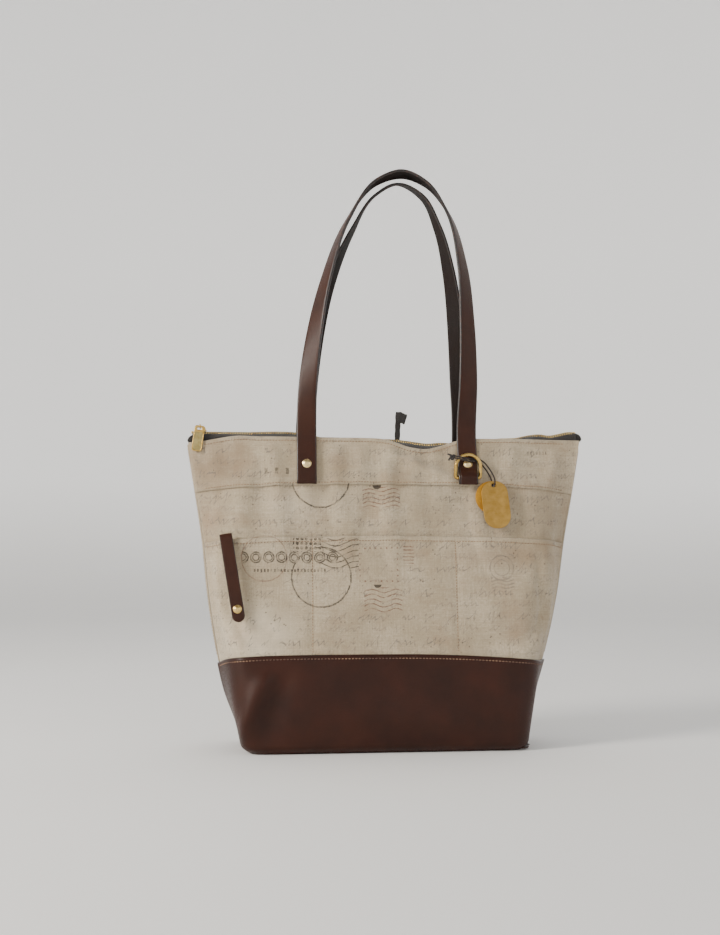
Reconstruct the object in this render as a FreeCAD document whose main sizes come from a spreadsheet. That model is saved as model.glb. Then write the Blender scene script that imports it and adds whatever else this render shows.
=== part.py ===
"""Zip-top canvas mail tote with a leather base, two strap handles and a tag charm.

Frame: millimetres, +X to the right, -Y to the front, +Z up, origin at the centre of the
base on the surface the tote stands on.  The soft shells are described by level sections:
each level is a flat hexagon with rounded front corners, and a layer of cloth lies between
two depths measured inward from the canvas surface.
"""
import FreeCAD, Part
import math
import os

import Sketcher

V = FreeCAD.Vector
Placement = FreeCAD.Placement
Rotation = FreeCAD.Rotation

SIZES = [
    # alias, value, what it is
    ("floorZ", 0.0, "ground level"),
    ("floorSide", 147.0, "half width at the ground"),
    ("floorFront", 49.5, "half depth at the ground"),
    ("floorFlat", 147.0, "half width of the flat front at the ground"),
    ("floorRound", 20.0, "corner radius at the ground"),
    ("swellZ", 30.0, "level where the base is deepest"),
    ("swellSide", 156.5, "half width at the swell"),
    ("swellFront", 51.8, "half depth at the swell"),
    ("swellFlat", 150.0, "half width of the flat front at the swell"),
    ("swellRound", 24.0, "corner radius at the swell"),
    ("beltZ", 96.5, "top of the leather base"),
    ("beltSide", 174.0, "half width at the belt"),
    ("beltFront", 46.2, "half depth at the belt"),
    ("beltFlat", 153.3, "half width of the flat front at the belt"),
    ("beltRound", 28.0, "corner radius at the belt"),
    ("waistZ", 154.0, "level between belt and pocket hem"),
    ("waistSide", 183.0, "half width at the waist"),
    ("waistFront", 39.0, "half depth at the waist"),
    ("waistFlat", 156.0, "half width of the flat front at the waist"),
    ("waistRound", 32.0, "corner radius at the waist"),
    ("hemZ", 216.0, "top of the front pocket"),
    ("hemSide", 190.5, "half width at the hem"),
    ("hemFront", 29.0, "half depth at the hem"),
    ("hemFlat", 156.0, "half width of the flat front at the hem"),
    ("hemRound", 36.0, "corner radius at the hem"),
    ("yokeZ", 272.0, "yoke seam"),
    ("yokeSide", 199.0, "half width at the yoke seam"),
    ("yokeFront", 20.0, "half depth at the yoke seam"),
    ("yokeFlat", 146.0, "half width of the flat front at the yoke seam"),
    ("yokeRound", 44.0, "corner radius at the yoke seam"),
    ("rimZ", 322.0, "top edge of the canvas"),
    ("rimSide", 208.0, "half width at the top edge"),
    ("rimFront", 11.0, "half depth at the top edge"),
    ("rimFlat", 126.0, "half width of the flat front at the top edge"),
    ("rimRound", 60.0, "corner radius at the top edge"),
    ("seamDroop", 7.0, "how much lower a band seam is at the side seam than at the middle"),
    ("rimDroop", 4.0, "the same for the top edge"),
    ("seamHalf", 3.6, "half thickness of the sewn side seam"),
    ("canvasThick", 1.2, "canvas"),
    ("liningThick", 0.6, "lining cloth"),
    ("liningGap", 1.2, "air between canvas and lining"),
    ("leatherThick", 1.8, "base leather"),
    ("leatherGap", 1.4, "air between canvas surface and the base leather"),
    ("pocketGap", 1.4, "air behind the pocket at its hem"),
    ("bottomThick", 1.8, "leather base plate"),
    ("boardThick", 2.8, "stiffening board"),
    ("boardInset", 3.5, "board edge inside the canvas line"),
    ("strapWide", 20.5, "handle strap width"),
    ("strapThick", 3.0, "handle strap thickness"),
    ("strapOffset", 84.5, "handle leg centre from the middle"),
    ("rivetZ", 292.0, "height of the handle rivets"),
    ("rivetWide", 9.4, "rivet cap diameter"),
    ("rivetTall", 2.4, "rivet cap height"),
    ("rivetSoften", 0.8, "share of the cap height that is rounded"),
    ("postWide", 3.0, "rivet post diameter"),
    ("burrWide", 8.0, "rivet burr diameter"),
    ("burrTall", 1.0, "rivet burr thickness"),
    ("ringWire", 3.6, "D-ring wire diameter"),
    ("ringSpan", 26.4, "D-ring width between wire centres"),
    ("ringLeg", 11.0, "D-ring straight leg"),
    ("ringTilt", 16.0, "lean of the ring away from the strap, degrees"),
    ("ringBarZ", 277.5, "height of the ring's bar"),
    ("ringBarOut", 2.3, "bar centre in front of the yoke"),
    ("chainZ", 325.0, "height of the zip chain"),
    ("chainHalf", 201.0, "half length of the zip tape flange"),
    ("toothPitch", 2.5, "zip pitch"),
    ("toothWide", 1.1, "tooth size along the zip"),
    ("toothDeep", 3.5, "tooth size across the zip"),
    ("toothTall", 2.6, "tooth height"),
    ("tapeThick", 0.6, "zip tape"),
    ("tapeInner", 2.5, "tape edge from the zip centre line"),
    ("tapeOuter", 5.2, "outer edge of the tape's flat part"),
    ("sliderX", -195.0, "slider centre with the zip closed"),
    ("sliderLong", 13.0, "slider length"),
    ("sliderWide", 8.6, "slider width"),
    ("sliderPlate", 1.0, "slider plate thickness"),
    ("sliderLip", 1.2, "slider side lip height"),
    ("bailLong", 9.6, "bail length"),
    ("bailBarZ", 330.9, "height of the bail's bar"),
    ("bailWire", 1.6, "bail wire diameter"),
    ("linkLong", 8.6, "pull link length between end centres"),
    ("linkThick", 1.2, "pull link thickness"),
    ("pullWide", 10.6, "zip pull width"),
    ("pullLong", 27.0, "zip pull length"),
    ("pullThick", 1.8, "zip pull thickness"),
    ("pullHole", 4.4, "hole in the zip pull"),
    ("pullTilt", 8.0, "sideways lean of the pull, degrees"),
    ("tagWide", 28.0, "brass tag width"),
    ("tagLong", 50.0, "brass tag length"),
    ("tagThick", 1.2, "brass tag thickness"),
    ("tagHole", 4.2, "tag hole diameter"),
    ("tagEdge", 4.4, "hole centre from the tag's end"),
    ("tagTilt", 5.0, "lean of the brass tag, degrees"),
    ("discWide", 35.0, "round tag diameter"),
    ("discThick", 2.5, "round tag thickness"),
    ("discEdge", 4.8, "hole centre from the round tag's rim"),
    ("discTilt", -8.0, "lean of the round tag, degrees"),
    ("charmX", 110.4, "tag holes, from the middle"),
    ("charmZ", 268.6, "tag holes, height"),
    ("cordWide", 1.5, "charm cord diameter"),
    ("knotWide", 4.6, "charm knot diameter"),
    ("pocketTabWide", 13.0, "pocket tab width"),
    ("pocketTabLong", 90.0, "pocket tab length"),
    ("pocketTabThick", 1.8, "pocket tab thickness"),
    ("pocketTabTilt", 9.5, "lean of the pocket tab, degrees"),
    ("pocketTabAir", 0.9, "air between the pocket tab and the pocket"),
    ("pocketTabRivet", 13.0, "rivet centre from the tab's lower end"),
    ("pocketTabX", -152.5, "lower end of the pocket tab"),
    ("pocketTabZ", 130.0, "lower end of the pocket tab, height"),
    ("ribbonWide", 6.0, "ribbon width"),
    ("ribbonThick", 0.9, "ribbon thickness"),
    ("ribbonTall", 29.0, "ribbon height above the top edge"),
    ("ribbonX", 17.0, "ribbon, from the middle"),
]

doc = FreeCAD.newDocument("MailTote")
sheet = doc.addObject("Spreadsheet::Sheet", "Sizes")
for row, (alias, value, note) in enumerate(SIZES, start=1):
    sheet.set("A%d" % row, alias)
    sheet.set("B%d" % row, str(value))
    sheet.setAlias("B%d" % row, alias)
    sheet.set("C%d" % row, note)
doc.recompute()

pieces = []


def size(alias):
    """Value of a spreadsheet cell."""
    return float(sheet.get(alias))


def bind(obj, **expressions):
    """Bind properties of an object to spreadsheet expressions."""
    for name, expression in expressions.items():
        obj.setExpression(name, expression)


def keep(obj, label):
    """Register a finished sub-part under its own label."""
    obj.Label = label
    pieces.append(obj)
    return obj


def feature(label, shape):
    """A sub-part whose shape is computed from the sheet."""
    obj = doc.addObject("Part::Feature", label)
    obj.Shape = shape
    return keep(obj, label)


# ---------------------------------------------------------------- level sections

class Level:
    """One horizontal section of the tote."""

    def __init__(self, z, side, front, flat, corner):
        self.z = z
        self.side = side
        self.front = front
        self.flat = flat
        self.round = corner


def level_from_sheet(name):
    """The section whose values are kept in the sheet under this name."""
    return Level(*[size(name + key) for key in ("Z", "Side", "Front", "Flat", "Round")])


LEVELS = [level_from_sheet(name) for name in
          ("floor", "swell", "belt", "waist", "hem", "yoke", "rim")]


def blend_levels(z):
    """Section at any height: straight between levels, extended past the last one."""
    low, high = LEVELS[0], LEVELS[1]
    for low, high in zip(LEVELS, LEVELS[1:]):
        if z <= high.z:
            break
    share = (z - low.z) / (high.z - low.z)

    def between(key):
        return getattr(low, key) + share * (getattr(high, key) - getattr(low, key))

    return Level(z, between("side"), between("front"), between("flat"), between("round"))


def half_outline(level, depth):
    """Front half of a section, `depth` inside the canvas surface, left end to right end."""
    turn = math.atan2(level.front, level.side - level.flat)
    seam = size("seamHalf") * math.cos(turn)
    turn = math.atan2(level.front - seam, level.side - level.flat)
    end = V(level.side - depth * math.sin(turn), -seam + depth * math.cos(turn), level.z)
    run = (level.front - depth + end.y) / math.sin(turn)
    corner = V(end.x - run * math.cos(turn), -level.front + depth, level.z)
    radius = max(level.round - depth, 1.0)
    back_off = radius * math.tan(turn / 2)
    first = corner + (end - corner).normalize() * back_off
    last = corner + V(-back_off, 0, 0)
    centre = V(last.x, last.y + radius, level.z)
    middle = centre + V(math.sin(turn / 2), -math.cos(turn / 2), 0) * radius
    right = [end, first, middle, last]
    left = [V(-p.x, p.y, p.z) for p in right]
    return left + right[::-1]


def half_ring(level, outer, inner):
    """Closed section of one layer of the front half."""
    out = half_outline(level, outer)
    back = half_outline(level, inner)
    edges = []
    for path in (out, back[::-1]):
        edges += [
            Part.LineSegment(path[0], path[1]).toShape(),
            Part.Arc(path[1], path[2], path[3]).toShape(),
            Part.LineSegment(path[3], path[4]).toShape(),
            Part.Arc(path[4], path[5], path[6]).toShape(),
            Part.LineSegment(path[6], path[7]).toShape(),
        ]
    edges.insert(5, Part.LineSegment(out[7], back[7]).toShape())
    edges.append(Part.LineSegment(back[0], out[0]).toShape())
    return Part.Wire(edges)


def layer(low_z, high_z, outer, inner):
    """Front half of one cloth layer; outer and inner give the depth at a height."""
    heights = [low_z] + [lv.z for lv in LEVELS if low_z + 0.5 < lv.z < high_z - 0.5] + [high_z]
    wires = []
    for z in heights:
        wires.append(half_ring(blend_levels(z), outer(z), inner(z)))
    return Part.makeLoft(wires, True, True)


def band(low_z, high_z, low_droop, high_droop):
    """Cutting block between two edges that are lower at the sides than at the middle."""
    reach = size("rimSide") + 20.0
    deep = size("floorFront") + 60.0

    def arc(z, droop):
        drop = droop * (reach / size("rimSide")) ** 2
        return Part.Arc(V(-reach, -deep, z - drop), V(0, -deep, z), V(reach, -deep, z - drop))

    top = arc(high_z, high_droop)
    bottom = arc(low_z, low_droop)
    wire = Part.Wire([
        bottom.toShape(),
        Part.LineSegment(bottom.EndPoint, top.EndPoint).toShape(),
        top.toShape(),
        Part.LineSegment(top.StartPoint, bottom.StartPoint).toShape(),
    ])
    return Part.Face(wire).extrude(V(0, 2 * deep, 0))


def to_back(shape):
    """The same piece on the back of the tote."""
    return shape.mirror(V(0, 0, 0), V(0, 1, 0))


def constant(value):
    """Depth that is the same at every height."""
    return lambda z: value


def pair(front_label, back_label, shape):
    """A front piece and its mirror image at the back."""
    feature(front_label, shape)
    feature(back_label, to_back(shape))


# ---------------------------------------------------------------- canvas, leather, lining

def make_shells():
    canvas = size("canvasThick")
    droop = size("seamDroop")
    rim_cut = (size("rimZ"), size("rimDroop"))
    over = 6.0      # lofts run past their cut edges by this much
    tuck = 4.0      # hidden overlap under the next band
    seam_air = 0.05 # between a lapped band and the one under it

    yoke = layer(size("yokeZ") - 12, rim_cut[0] + over, constant(-canvas), constant(-seam_air))
    pair("front_yoke", "back_yoke", yoke.common(band(size("yokeZ"), rim_cut[0], droop, rim_cut[1])))

    panel = layer(size("beltZ") - 16, size("yokeZ") + 8, constant(0.0), constant(canvas))
    pair("front_panel", "back_panel",
         panel.common(band(size("beltZ") - tuck, size("yokeZ") + tuck, droop, droop)))

    hem, belt = size("hemZ"), size("beltZ")

    def pocket_back(z):
        share = min(max((z - belt) / (hem - belt), 0.0), 1.0)
        return -0.1 - size("pocketGap") * share

    pocket = layer(belt - 16, hem + 8, lambda z: pocket_back(z) - canvas, pocket_back)
    feature("front_pocket", pocket.common(band(belt - tuck, hem, droop, droop)))

    inner_face = -size("leatherGap")
    outer_face = inner_face - size("leatherThick")
    leather = layer(0.0, belt + over, constant(outer_face), constant(inner_face))
    pair("base_leather_front", "base_leather_back", leather.common(band(-20.0, belt, droop, droop)))

    lining_out = canvas + size("liningGap")
    lining_in = lining_out + size("liningThick")
    low = size("bottomThick") + size("boardThick") + size("liningThick")
    lining = layer(low, rim_cut[0] - 4, constant(lining_out), constant(lining_in))
    pair("lining_front", "lining_back",
         lining.common(band(-20.0, rim_cut[0] - 10, droop, rim_cut[1])))


# ---------------------------------------------------------------- plates in the base

def named_line_rectangle(sketch, width, height):
    """Rectangle about the origin; width and height are spreadsheet expressions."""
    corner = 10.0
    points = [V(-corner, -corner, 0), V(corner, -corner, 0), V(corner, corner, 0), V(-corner, corner, 0)]
    for start, end in zip(points, points[1:] + points[:1]):
        sketch.addGeometry(Part.LineSegment(start, end), False)
    for i in range(4):
        sketch.addConstraint(Sketcher.Constraint("Coincident", i, 2, (i + 1) % 4, 1))
    for i in (0, 2):
        sketch.addConstraint(Sketcher.Constraint("Horizontal", i))
        sketch.addConstraint(Sketcher.Constraint("Vertical", i + 1))
    sketch.addConstraint(Sketcher.Constraint("Symmetric", 0, 1, 2, 1, -1, 1))
    wide = sketch.addConstraint(Sketcher.Constraint("DistanceX", 0, 1, 0, 2, 2 * corner))
    tall = sketch.addConstraint(Sketcher.Constraint("DistanceY", 1, 1, 1, 2, 2 * corner))
    sketch.setExpression("Constraints[%d]" % wide, width)
    sketch.setExpression("Constraints[%d]" % tall, height)


def new_body(label):
    return doc.addObject("PartDesign::Body", label)


def plane_sketch(body, role, name):
    """Sketch on one of the body's own origin planes."""
    sketch = body.newObject("Sketcher::SketchObject", name)
    plane = [f for f in body.Origin.OriginFeatures if f.Role == role][0]
    sketch.AttachmentSupport = [(plane, "")]
    sketch.MapMode = "FlatFace"
    return sketch


def pad(body, sketch, length, both_ways=False):
    """Pad a sketch by an expression, centred on its plane if asked."""
    solid = body.newObject("PartDesign::Pad", sketch.Name + "Pad")
    solid.Profile = sketch
    solid.setExpression("Length", length)
    solid.Midplane = both_ways
    doc.recompute()
    return solid


def round_edges(body, base, wanted, radius):
    """Fillet the edges that pass a test, by a radius expression."""
    names = ["Edge%d" % (i + 1) for i, edge in enumerate(base.Shape.Edges) if wanted(edge)]
    fillet = body.newObject("PartDesign::Fillet", body.Name + "Round")
    fillet.Base = (base, names)
    fillet.setExpression("Radius", radius)
    doc.recompute()
    return fillet


def upright(edge):
    """True for an edge along the plate's thickness."""
    first, last = edge.Vertexes[0].Point, edge.Vertexes[-1].Point
    return abs(first.x - last.x) < 1e-6 and abs(first.y - last.y) < 1e-6


def base_plate(label, edge, thickness, level):
    """Plate across the base; edge is its distance inside the canvas line."""
    body = new_body(label)
    sketch = plane_sketch(body, "XY_Plane", label + "Outline")
    named_line_rectangle(
        sketch,
        "2 * (Sizes.floorSide - (%s))" % edge,
        "2 * (Sizes.floorFront - (%s))" % edge,
    )
    solid = pad(body, sketch, thickness)
    round_edges(body, solid, upright, "Sizes.floorRound - (%s)" % edge)
    body.setExpression("Placement.Base.z", level)
    keep(body, label)


def make_base_plates():
    base_plate("base_leather_bottom", "0.1 - Sizes.leatherGap", "Sizes.bottomThick", "Sizes.floorZ")
    base_plate("base_board", "Sizes.boardInset", "Sizes.boardThick", "Sizes.floorZ + Sizes.bottomThick")
    base_plate("lining_bottom", "Sizes.canvasThick + Sizes.liningGap", "Sizes.liningThick",
               "Sizes.bottomThick + Sizes.boardThick")


# ---------------------------------------------------------------- zip

def make_zip_tapes():
    thick = size("tapeThick")
    chain_z = size("chainZ")
    half = size("chainHalf")
    low, edge_z = size("rimZ") - 16, size("rimZ") - 3
    inside = 0.4
    outer = size("tapeOuter")
    wires = [
        half_ring(blend_levels(low), inside, inside + thick),
        half_ring(blend_levels(edge_z), inside, inside + thick),
    ]
    skirt = Part.makeLoft(wires, True, True)
    lip = blend_levels(edge_z)
    lip.z = chain_z + thick / 2
    lip.side = half + 2
    lip.front = outer
    lip.flat = half - 60
    lip.round = 10.0
    wires = [half_ring(blend_levels(edge_z), inside, inside + thick), half_ring(lip, 0.0, thick)]
    slope = Part.makeLoft(wires, True, True)
    flat = Part.makeBox(2 * half - 4, outer - size("tapeInner"), thick,
                        V(-half + 2, -outer, chain_z - thick / 2))
    tape = skirt.fuse([slope, flat]).removeSplitter()
    keep_side = Part.makeBox(2 * half + 60, 60, 60, V(-half - 30, -60 - 0.05, low - 1))
    pair("zip_tape_front", "zip_tape_back", tape.common(keep_side))


def make_zip_teeth():
    pitch = size("toothPitch")
    wide, deep, tall = size("toothWide"), size("toothDeep"), size("toothTall")
    start = -size("chainHalf") + 2.5
    count = int((2 * size("chainHalf") - 7) / pitch)
    root = size("tapeInner") - 0.1
    low = size("chainZ") - tall / 2
    front, back = [], []
    for i in range(count):
        x = start + i * pitch
        front.append(Part.makeBox(wide, deep, tall, V(x, -root, low)))
        back.append(Part.makeBox(wide, deep, tall, V(x + pitch / 2, root - deep, low)))
    feature("zip_teeth_front", Part.makeCompound(front))
    feature("zip_teeth_back", Part.makeCompound(back))


def make_zip_stops():
    tall = size("toothTall")
    low = size("chainZ") - tall / 2
    gap = 0.3
    top = [
        Part.makeBox(2.2, 2.0, tall, V(-size("chainHalf") - 3.2, -size("tapeInner") + gap, low)),
        Part.makeBox(2.2, 2.0, tall, V(-size("chainHalf") - 3.2, size("tapeInner") - gap - 2.0, low)),
    ]
    feature("zip_top_stops", Part.makeCompound(top))
    width = 2 * size("tapeInner") - 0.4
    feature("zip_bottom_stop",
            Part.makeBox(3.0, width, tall, V(size("chainHalf") - 3.0, -width / 2, low)))


def block(name, length, width, height, x, y, z):
    """Part::Box with every size and place bound to the sheet."""
    obj = doc.addObject("Part::Box", name)
    bind(obj, Length=length, Width=width, Height=height)
    obj.setExpression("Placement.Base.x", x)
    obj.setExpression("Placement.Base.y", y)
    obj.setExpression("Placement.Base.z", z)
    return obj


def rod(name, radius, height, placement):
    """Part::Cylinder bound to the sheet."""
    obj = doc.addObject("Part::Cylinder", name)
    bind(obj, Radius=radius, Height=height)
    obj.Placement = placement
    return obj


def joined(label, members):
    """Fuse several objects into one sub-part."""
    fuse = doc.addObject("Part::MultiFuse", label)
    fuse.Shapes = members
    return keep(fuse, label)


def gathered(label, members):
    """Several separate solids kept in one node."""
    group = doc.addObject("Part::Compound", label)
    group.Links = members
    return keep(group, label)


def make_slider():
    left = "Sizes.sliderX - Sizes.sliderLong / 2"
    edge = "0 - Sizes.sliderWide / 2"
    channel = "(Sizes.toothTall / 2 + 0.3)"
    lip_wide = "Sizes.sliderWide / 2 - 3.3"
    members = [
        block("sliderTop", "Sizes.sliderLong", "Sizes.sliderWide", "Sizes.sliderPlate",
              left, edge, "Sizes.chainZ + " + channel),
        block("sliderBottom", "Sizes.sliderLong", "Sizes.sliderWide - 3", "Sizes.sliderPlate",
              left, edge + " + 1.5", "Sizes.chainZ - %s - Sizes.sliderPlate" % channel),
    ]
    for side, y in (("Front", edge), ("Back", "Sizes.sliderWide / 2 - (%s)" % lip_wide)):
        members.append(block("sliderLip" + side, "Sizes.sliderLong", lip_wide, "Sizes.sliderLip",
                             left, y, "Sizes.chainZ + %s - Sizes.sliderLip" % channel))
    members.append(block("sliderPost", "0.9", "2.2", "2 * (%s) + 0.4" % channel,
                         left, "0 - 1.1", "Sizes.chainZ - %s - 0.2" % channel))
    plate_top = "Sizes.chainZ + %s + Sizes.sliderPlate" % channel
    for end, x in (("Left", "Sizes.sliderX - Sizes.bailLong / 2"),
                   ("Right", "Sizes.sliderX + Sizes.bailLong / 2 - 1.4")):
        members.append(block("bailFoot" + end, "1.4", "1.6",
                             "Sizes.bailBarZ - (%s) + 0.8" % plate_top,
                             x, "0 - 0.8", plate_top))
    bar = Placement(V(size("sliderX") - size("bailLong") / 2, 0, size("bailBarZ")),
                    Rotation(V(0, 1, 0), 90))
    members.append(rod("bailBar", "Sizes.bailWire / 2", "Sizes.bailLong", bar))
    joined("zip_slider", members)


def make_pull():
    x, bar_z = size("sliderX"), size("bailBarZ")
    gap, wire = 0.3, 1.2
    inner = size("bailWire") / 2 + gap
    outer = inner + wire
    reach = size("linkLong")
    thick = size("linkThick")

    def slot(radius):
        """Upright stadium plate around the bail bar and the pull's top bar."""
        left = x - thick / 2
        plate = Part.makeCylinder(radius, thick, V(left, 0, bar_z), V(1, 0, 0))
        plate = plate.fuse(Part.makeCylinder(radius, thick, V(left, -reach, bar_z), V(1, 0, 0)))
        return plate.fuse(Part.makeBox(thick, reach, 2 * radius, V(left, -reach, bar_z - radius)))

    link = slot(outer).cut(slot(inner)).removeSplitter()
    feature("zip_pull_link", link)

    body = new_body("zip_pull")
    sketch = plane_sketch(body, "XZ_Plane", "pullOutline")
    named_line_rectangle(sketch, "Sizes.pullWide", "Sizes.pullLong")
    solid = pad(body, sketch, "Sizes.pullThick", True)

    def across(edge):
        first, last = edge.Vertexes[0].Point, edge.Vertexes[-1].Point
        return abs(first.x - last.x) < 1e-6 and abs(first.z - last.z) < 1e-6

    round_edges(body, solid, across, "3 * Sizes.pullThick / 2")
    window = plane_sketch(body, "XZ_Plane", "pullWindow")
    window.addGeometry(Part.Circle(V(0, 10, 0), V(0, 0, 1), 2.0), False)
    spot = window.addConstraint(Sketcher.Constraint("DistanceY", -1, 1, 0, 3, 10))
    wide = window.addConstraint(Sketcher.Constraint("Diameter", 0, 4.0))
    window.addConstraint(Sketcher.Constraint("PointOnObject", 0, 3, -2))
    window.setExpression("Constraints[%d]" % spot, "Sizes.pullLong / 2 - Sizes.pullHole / 2 - 1.2")
    window.setExpression("Constraints[%d]" % wide, "Sizes.pullHole")
    cut = body.newObject("PartDesign::Pocket", "pullWindowCut")
    cut.Profile = window
    cut.Midplane = True
    cut.setExpression("Length", "4 * Sizes.pullThick")
    doc.recompute()
    # the pull hangs with its top bar resting inside the outer end of the link
    top_bar = 1.2
    rest = V(x, -reach, bar_z)
    turn = Rotation(V(0, 1, 0), size("pullTilt"))
    hang = turn.multVec(V(0, 0, -(size("pullLong") / 2 - top_bar / 2)))
    body.Placement = Placement(rest + hang, turn)
    keep(body, "zip_pull")


# ---------------------------------------------------------------- handles

def strap_section(point, tangent, facing, wide, thick):
    """Rectangle across a strap; facing is the direction its outer face looks."""
    across = tangent.cross(facing).normalize()
    normal = across.cross(tangent).normalize()
    half_w, half_t = across * (wide / 2), normal * (thick / 2)
    corners = [point + half_w + half_t, point - half_w + half_t,
               point - half_w - half_t, point + half_w - half_t]
    return Part.makePolygon(corners + corners[:1])


def twisted_strap(points, side, turn, haste):
    """Strap loop through points; it faces outward at its feet and upward at its top.

    turn is the angle reached at the top; haste makes a leg turn early (+) or late (-).
    """
    curve = Part.BSplineCurve()
    curve.interpolate(points)
    wide, thick = size("strapWide"), size("strapThick")
    total = curve.length()
    stations = 40
    sections = []
    for i in range(stations + 1):
        share = i / stations
        at = curve.parameterAtDistance(total * share)
        point = curve.value(at)
        tangent = V(*curve.tangent(at)[0])
        climb = 1.0 - abs(2.0 * share - 1.0)
        early = haste[0] if share < 0.5 else haste[1]
        twist = math.radians(turn) * climb * (1.0 + early * (1.0 - climb))
        outward = V(-tangent.z, 0, tangent.x)
        facing = V(0, side, 0) * math.cos(twist) + outward * math.sin(twist)
        sections.append(strap_section(point, tangent, facing, wide, thick))
    return Part.makeLoft(sections, True, True)


FRONT_STRAP = [
    # x, z of the strap's centre line, left foot to right foot
    (-84.5, 323), (-84.0, 362), (-77.5, 424), (-64.5, 488), (-41.0, 554), (-9.0, 597),
    (18.0, 606), (43.5, 596), (67.5, 564), (82.5, 508), (87.0, 448), (87.5, 380), (84.5, 323),
]
BACK_STRAP = [
    (-84.5, 323), (-82.5, 362), (-74.5, 424), (-59.0, 488), (-35.0, 546), (-9.5, 587),
    (14.0, 600), (41.0, 587), (58.5, 553), (71.0, 503), (78.0, 446), (82.5, 380), (84.5, 323),
]


def strap_y(z, side):
    """Depth of a standing strap: it leans from the top edge towards the middle."""
    foot = size("rimFront") + size("canvasThick") + size("strapThick") / 2 + 0.9
    top = 8.0
    share = min(max((z - size("rimZ")) / 270.0, 0.0), 1.0)
    return side * (foot + (top - foot) * math.sin(share * math.pi / 2))


def make_handles():
    # the straps' tops lean on each other, so both turn a little past level
    straps = (
        ("front_handle", FRONT_STRAP, -1, 97.0, (0.45, -0.25)),
        ("back_handle", BACK_STRAP, 1, 108.0, (0.0, 0.0)),
    )
    for label, outline, side, turn, haste in straps:
        points = [V(x, strap_y(z, side), z) for x, z in outline]
        feature(label, twisted_strap(points, side, turn, haste))


def yoke_slope():
    """Lean of the yoke's flat front, in degrees."""
    drop = size("yokeFront") - size("rimFront")
    return math.degrees(math.atan2(drop, size("rimZ") - size("yokeZ")))


def on_yoke(x, z, out, side):
    """Placement on the yoke: local X along the tote, Y up the slope, Z outward."""
    front = blend_levels(z).front + size("canvasThick")
    lean = Rotation(V(1, 0, 0), 90 - yoke_slope())
    if side > 0:
        lean = Rotation(V(0, 0, 1), 180).multiply(lean)
    spot = Placement(V(x, side * front, z), lean)
    return spot.multiply(Placement(V(0, 0, out), Rotation()))


def anchor_tab(label, outline, x, side):
    """Sewn-down end of a strap; outline is its side profile (up the slope, outward)."""
    body = new_body(label)
    sketch = plane_sketch(body, "YZ_Plane", label + "Profile")
    points = [V(up, out, 0) for up, out in outline]
    for start, end in zip(points, points[1:] + points[:1]):
        sketch.addGeometry(Part.LineSegment(start, end), False)
    count = len(points)
    for i in range(count):
        sketch.addConstraint(Sketcher.Constraint("Coincident", i, 2, (i + 1) % count, 1))
    pad(body, sketch, "Sizes.strapWide", True)
    body.Placement = on_yoke(x, size("rivetZ"), 0.0, side)
    return body


def make_anchor_tabs():
    thick = size("strapThick")
    low, high = 0.1, 0.1 + thick
    top, bottom = 27.0, -21.5
    plain = [(top, low), (top, high), (bottom, high), (bottom, low)]
    bar = (size("ringBarZ") - size("rivetZ")) / math.cos(math.radians(yoke_slope()))
    lift = size("ringBarOut") + size("ringWire") / 2 + 0.4
    ringed = [
        (top, low), (top, high), (bar + 8.6, high), (bar + 3.6, lift + thick),
        (bar - 3.4, lift + thick), (bottom, lift + 0.6), (bottom, lift - thick + 0.6),
        (bar - 2.6, lift), (bar + 2.6, lift), (bar + 6.8, low),
    ]
    offset = size("strapOffset")
    gathered("front_handle_tabs", [
        anchor_tab("tabFrontLeft", plain, -offset, -1),
        anchor_tab("tabFrontRight", ringed, offset, -1),
    ])
    gathered("back_handle_tabs", [
        anchor_tab("tabBackLeft", plain, -offset, 1),
        anchor_tab("tabBackRight", plain, offset, 1),
    ])


def domed_cap(name, placement):
    """Rivet cap with a rounded top; placement is the middle of its seat, Z outward."""
    cap = rod(name + "Blank", "Sizes.rivetWide / 2", "Sizes.rivetTall", placement)
    dome = doc.addObject("Part::Fillet", name)
    dome.Base = cap
    doc.recompute()
    centre = cap.Placement.multVec(V(0, 0, size("rivetTall")))
    rims = [i + 1 for i, e in enumerate(cap.Shape.Edges) if isinstance(e.Curve, Part.Circle)]
    top = min(rims, key=lambda i: cap.Shape.Edges[i - 1].Curve.Center.distanceToPoint(centre))
    soften = size("rivetTall") * size("rivetSoften")
    dome.Edges = [(top, soften, soften)]
    return dome


def make_rivets():
    caps, posts, burrs = [], [], []
    out = 0.1 + size("strapThick")
    for name, x, side in (("A", -1, -1), ("B", 1, -1), ("C", -1, 1), ("D", 1, 1)):
        x = x * size("strapOffset")
        caps.append(domed_cap("cap" + name, on_yoke(x, size("rivetZ"), out, side)))
        posts.append(rod("post" + name, "Sizes.postWide / 2",
                         "Sizes.strapThick + Sizes.canvasThick + Sizes.burrTall + 0.6",
                         on_yoke(x, size("rivetZ"), -size("canvasThick") - size("burrTall") - 0.5, side)))
        burrs.append(rod("burr" + name, "Sizes.burrWide / 2", "Sizes.burrTall",
                         on_yoke(x, size("rivetZ"), -size("canvasThick") - size("burrTall") - 0.2, side)))
    gathered("handle_rivet_caps", caps)
    gathered("handle_rivet_posts", posts)
    gathered("handle_rivet_burrs", burrs)


# ---------------------------------------------------------------- ring, cord and tags

def ring_placement():
    """Ring frame: origin at the middle of its bar, Y up through the ring."""
    spot = on_yoke(size("strapOffset"), size("ringBarZ"), size("ringBarOut"), -1)
    return spot.multiply(Placement(V(0, 0, 0), Rotation(V(1, 0, 0), size("ringTilt"))))


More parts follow.
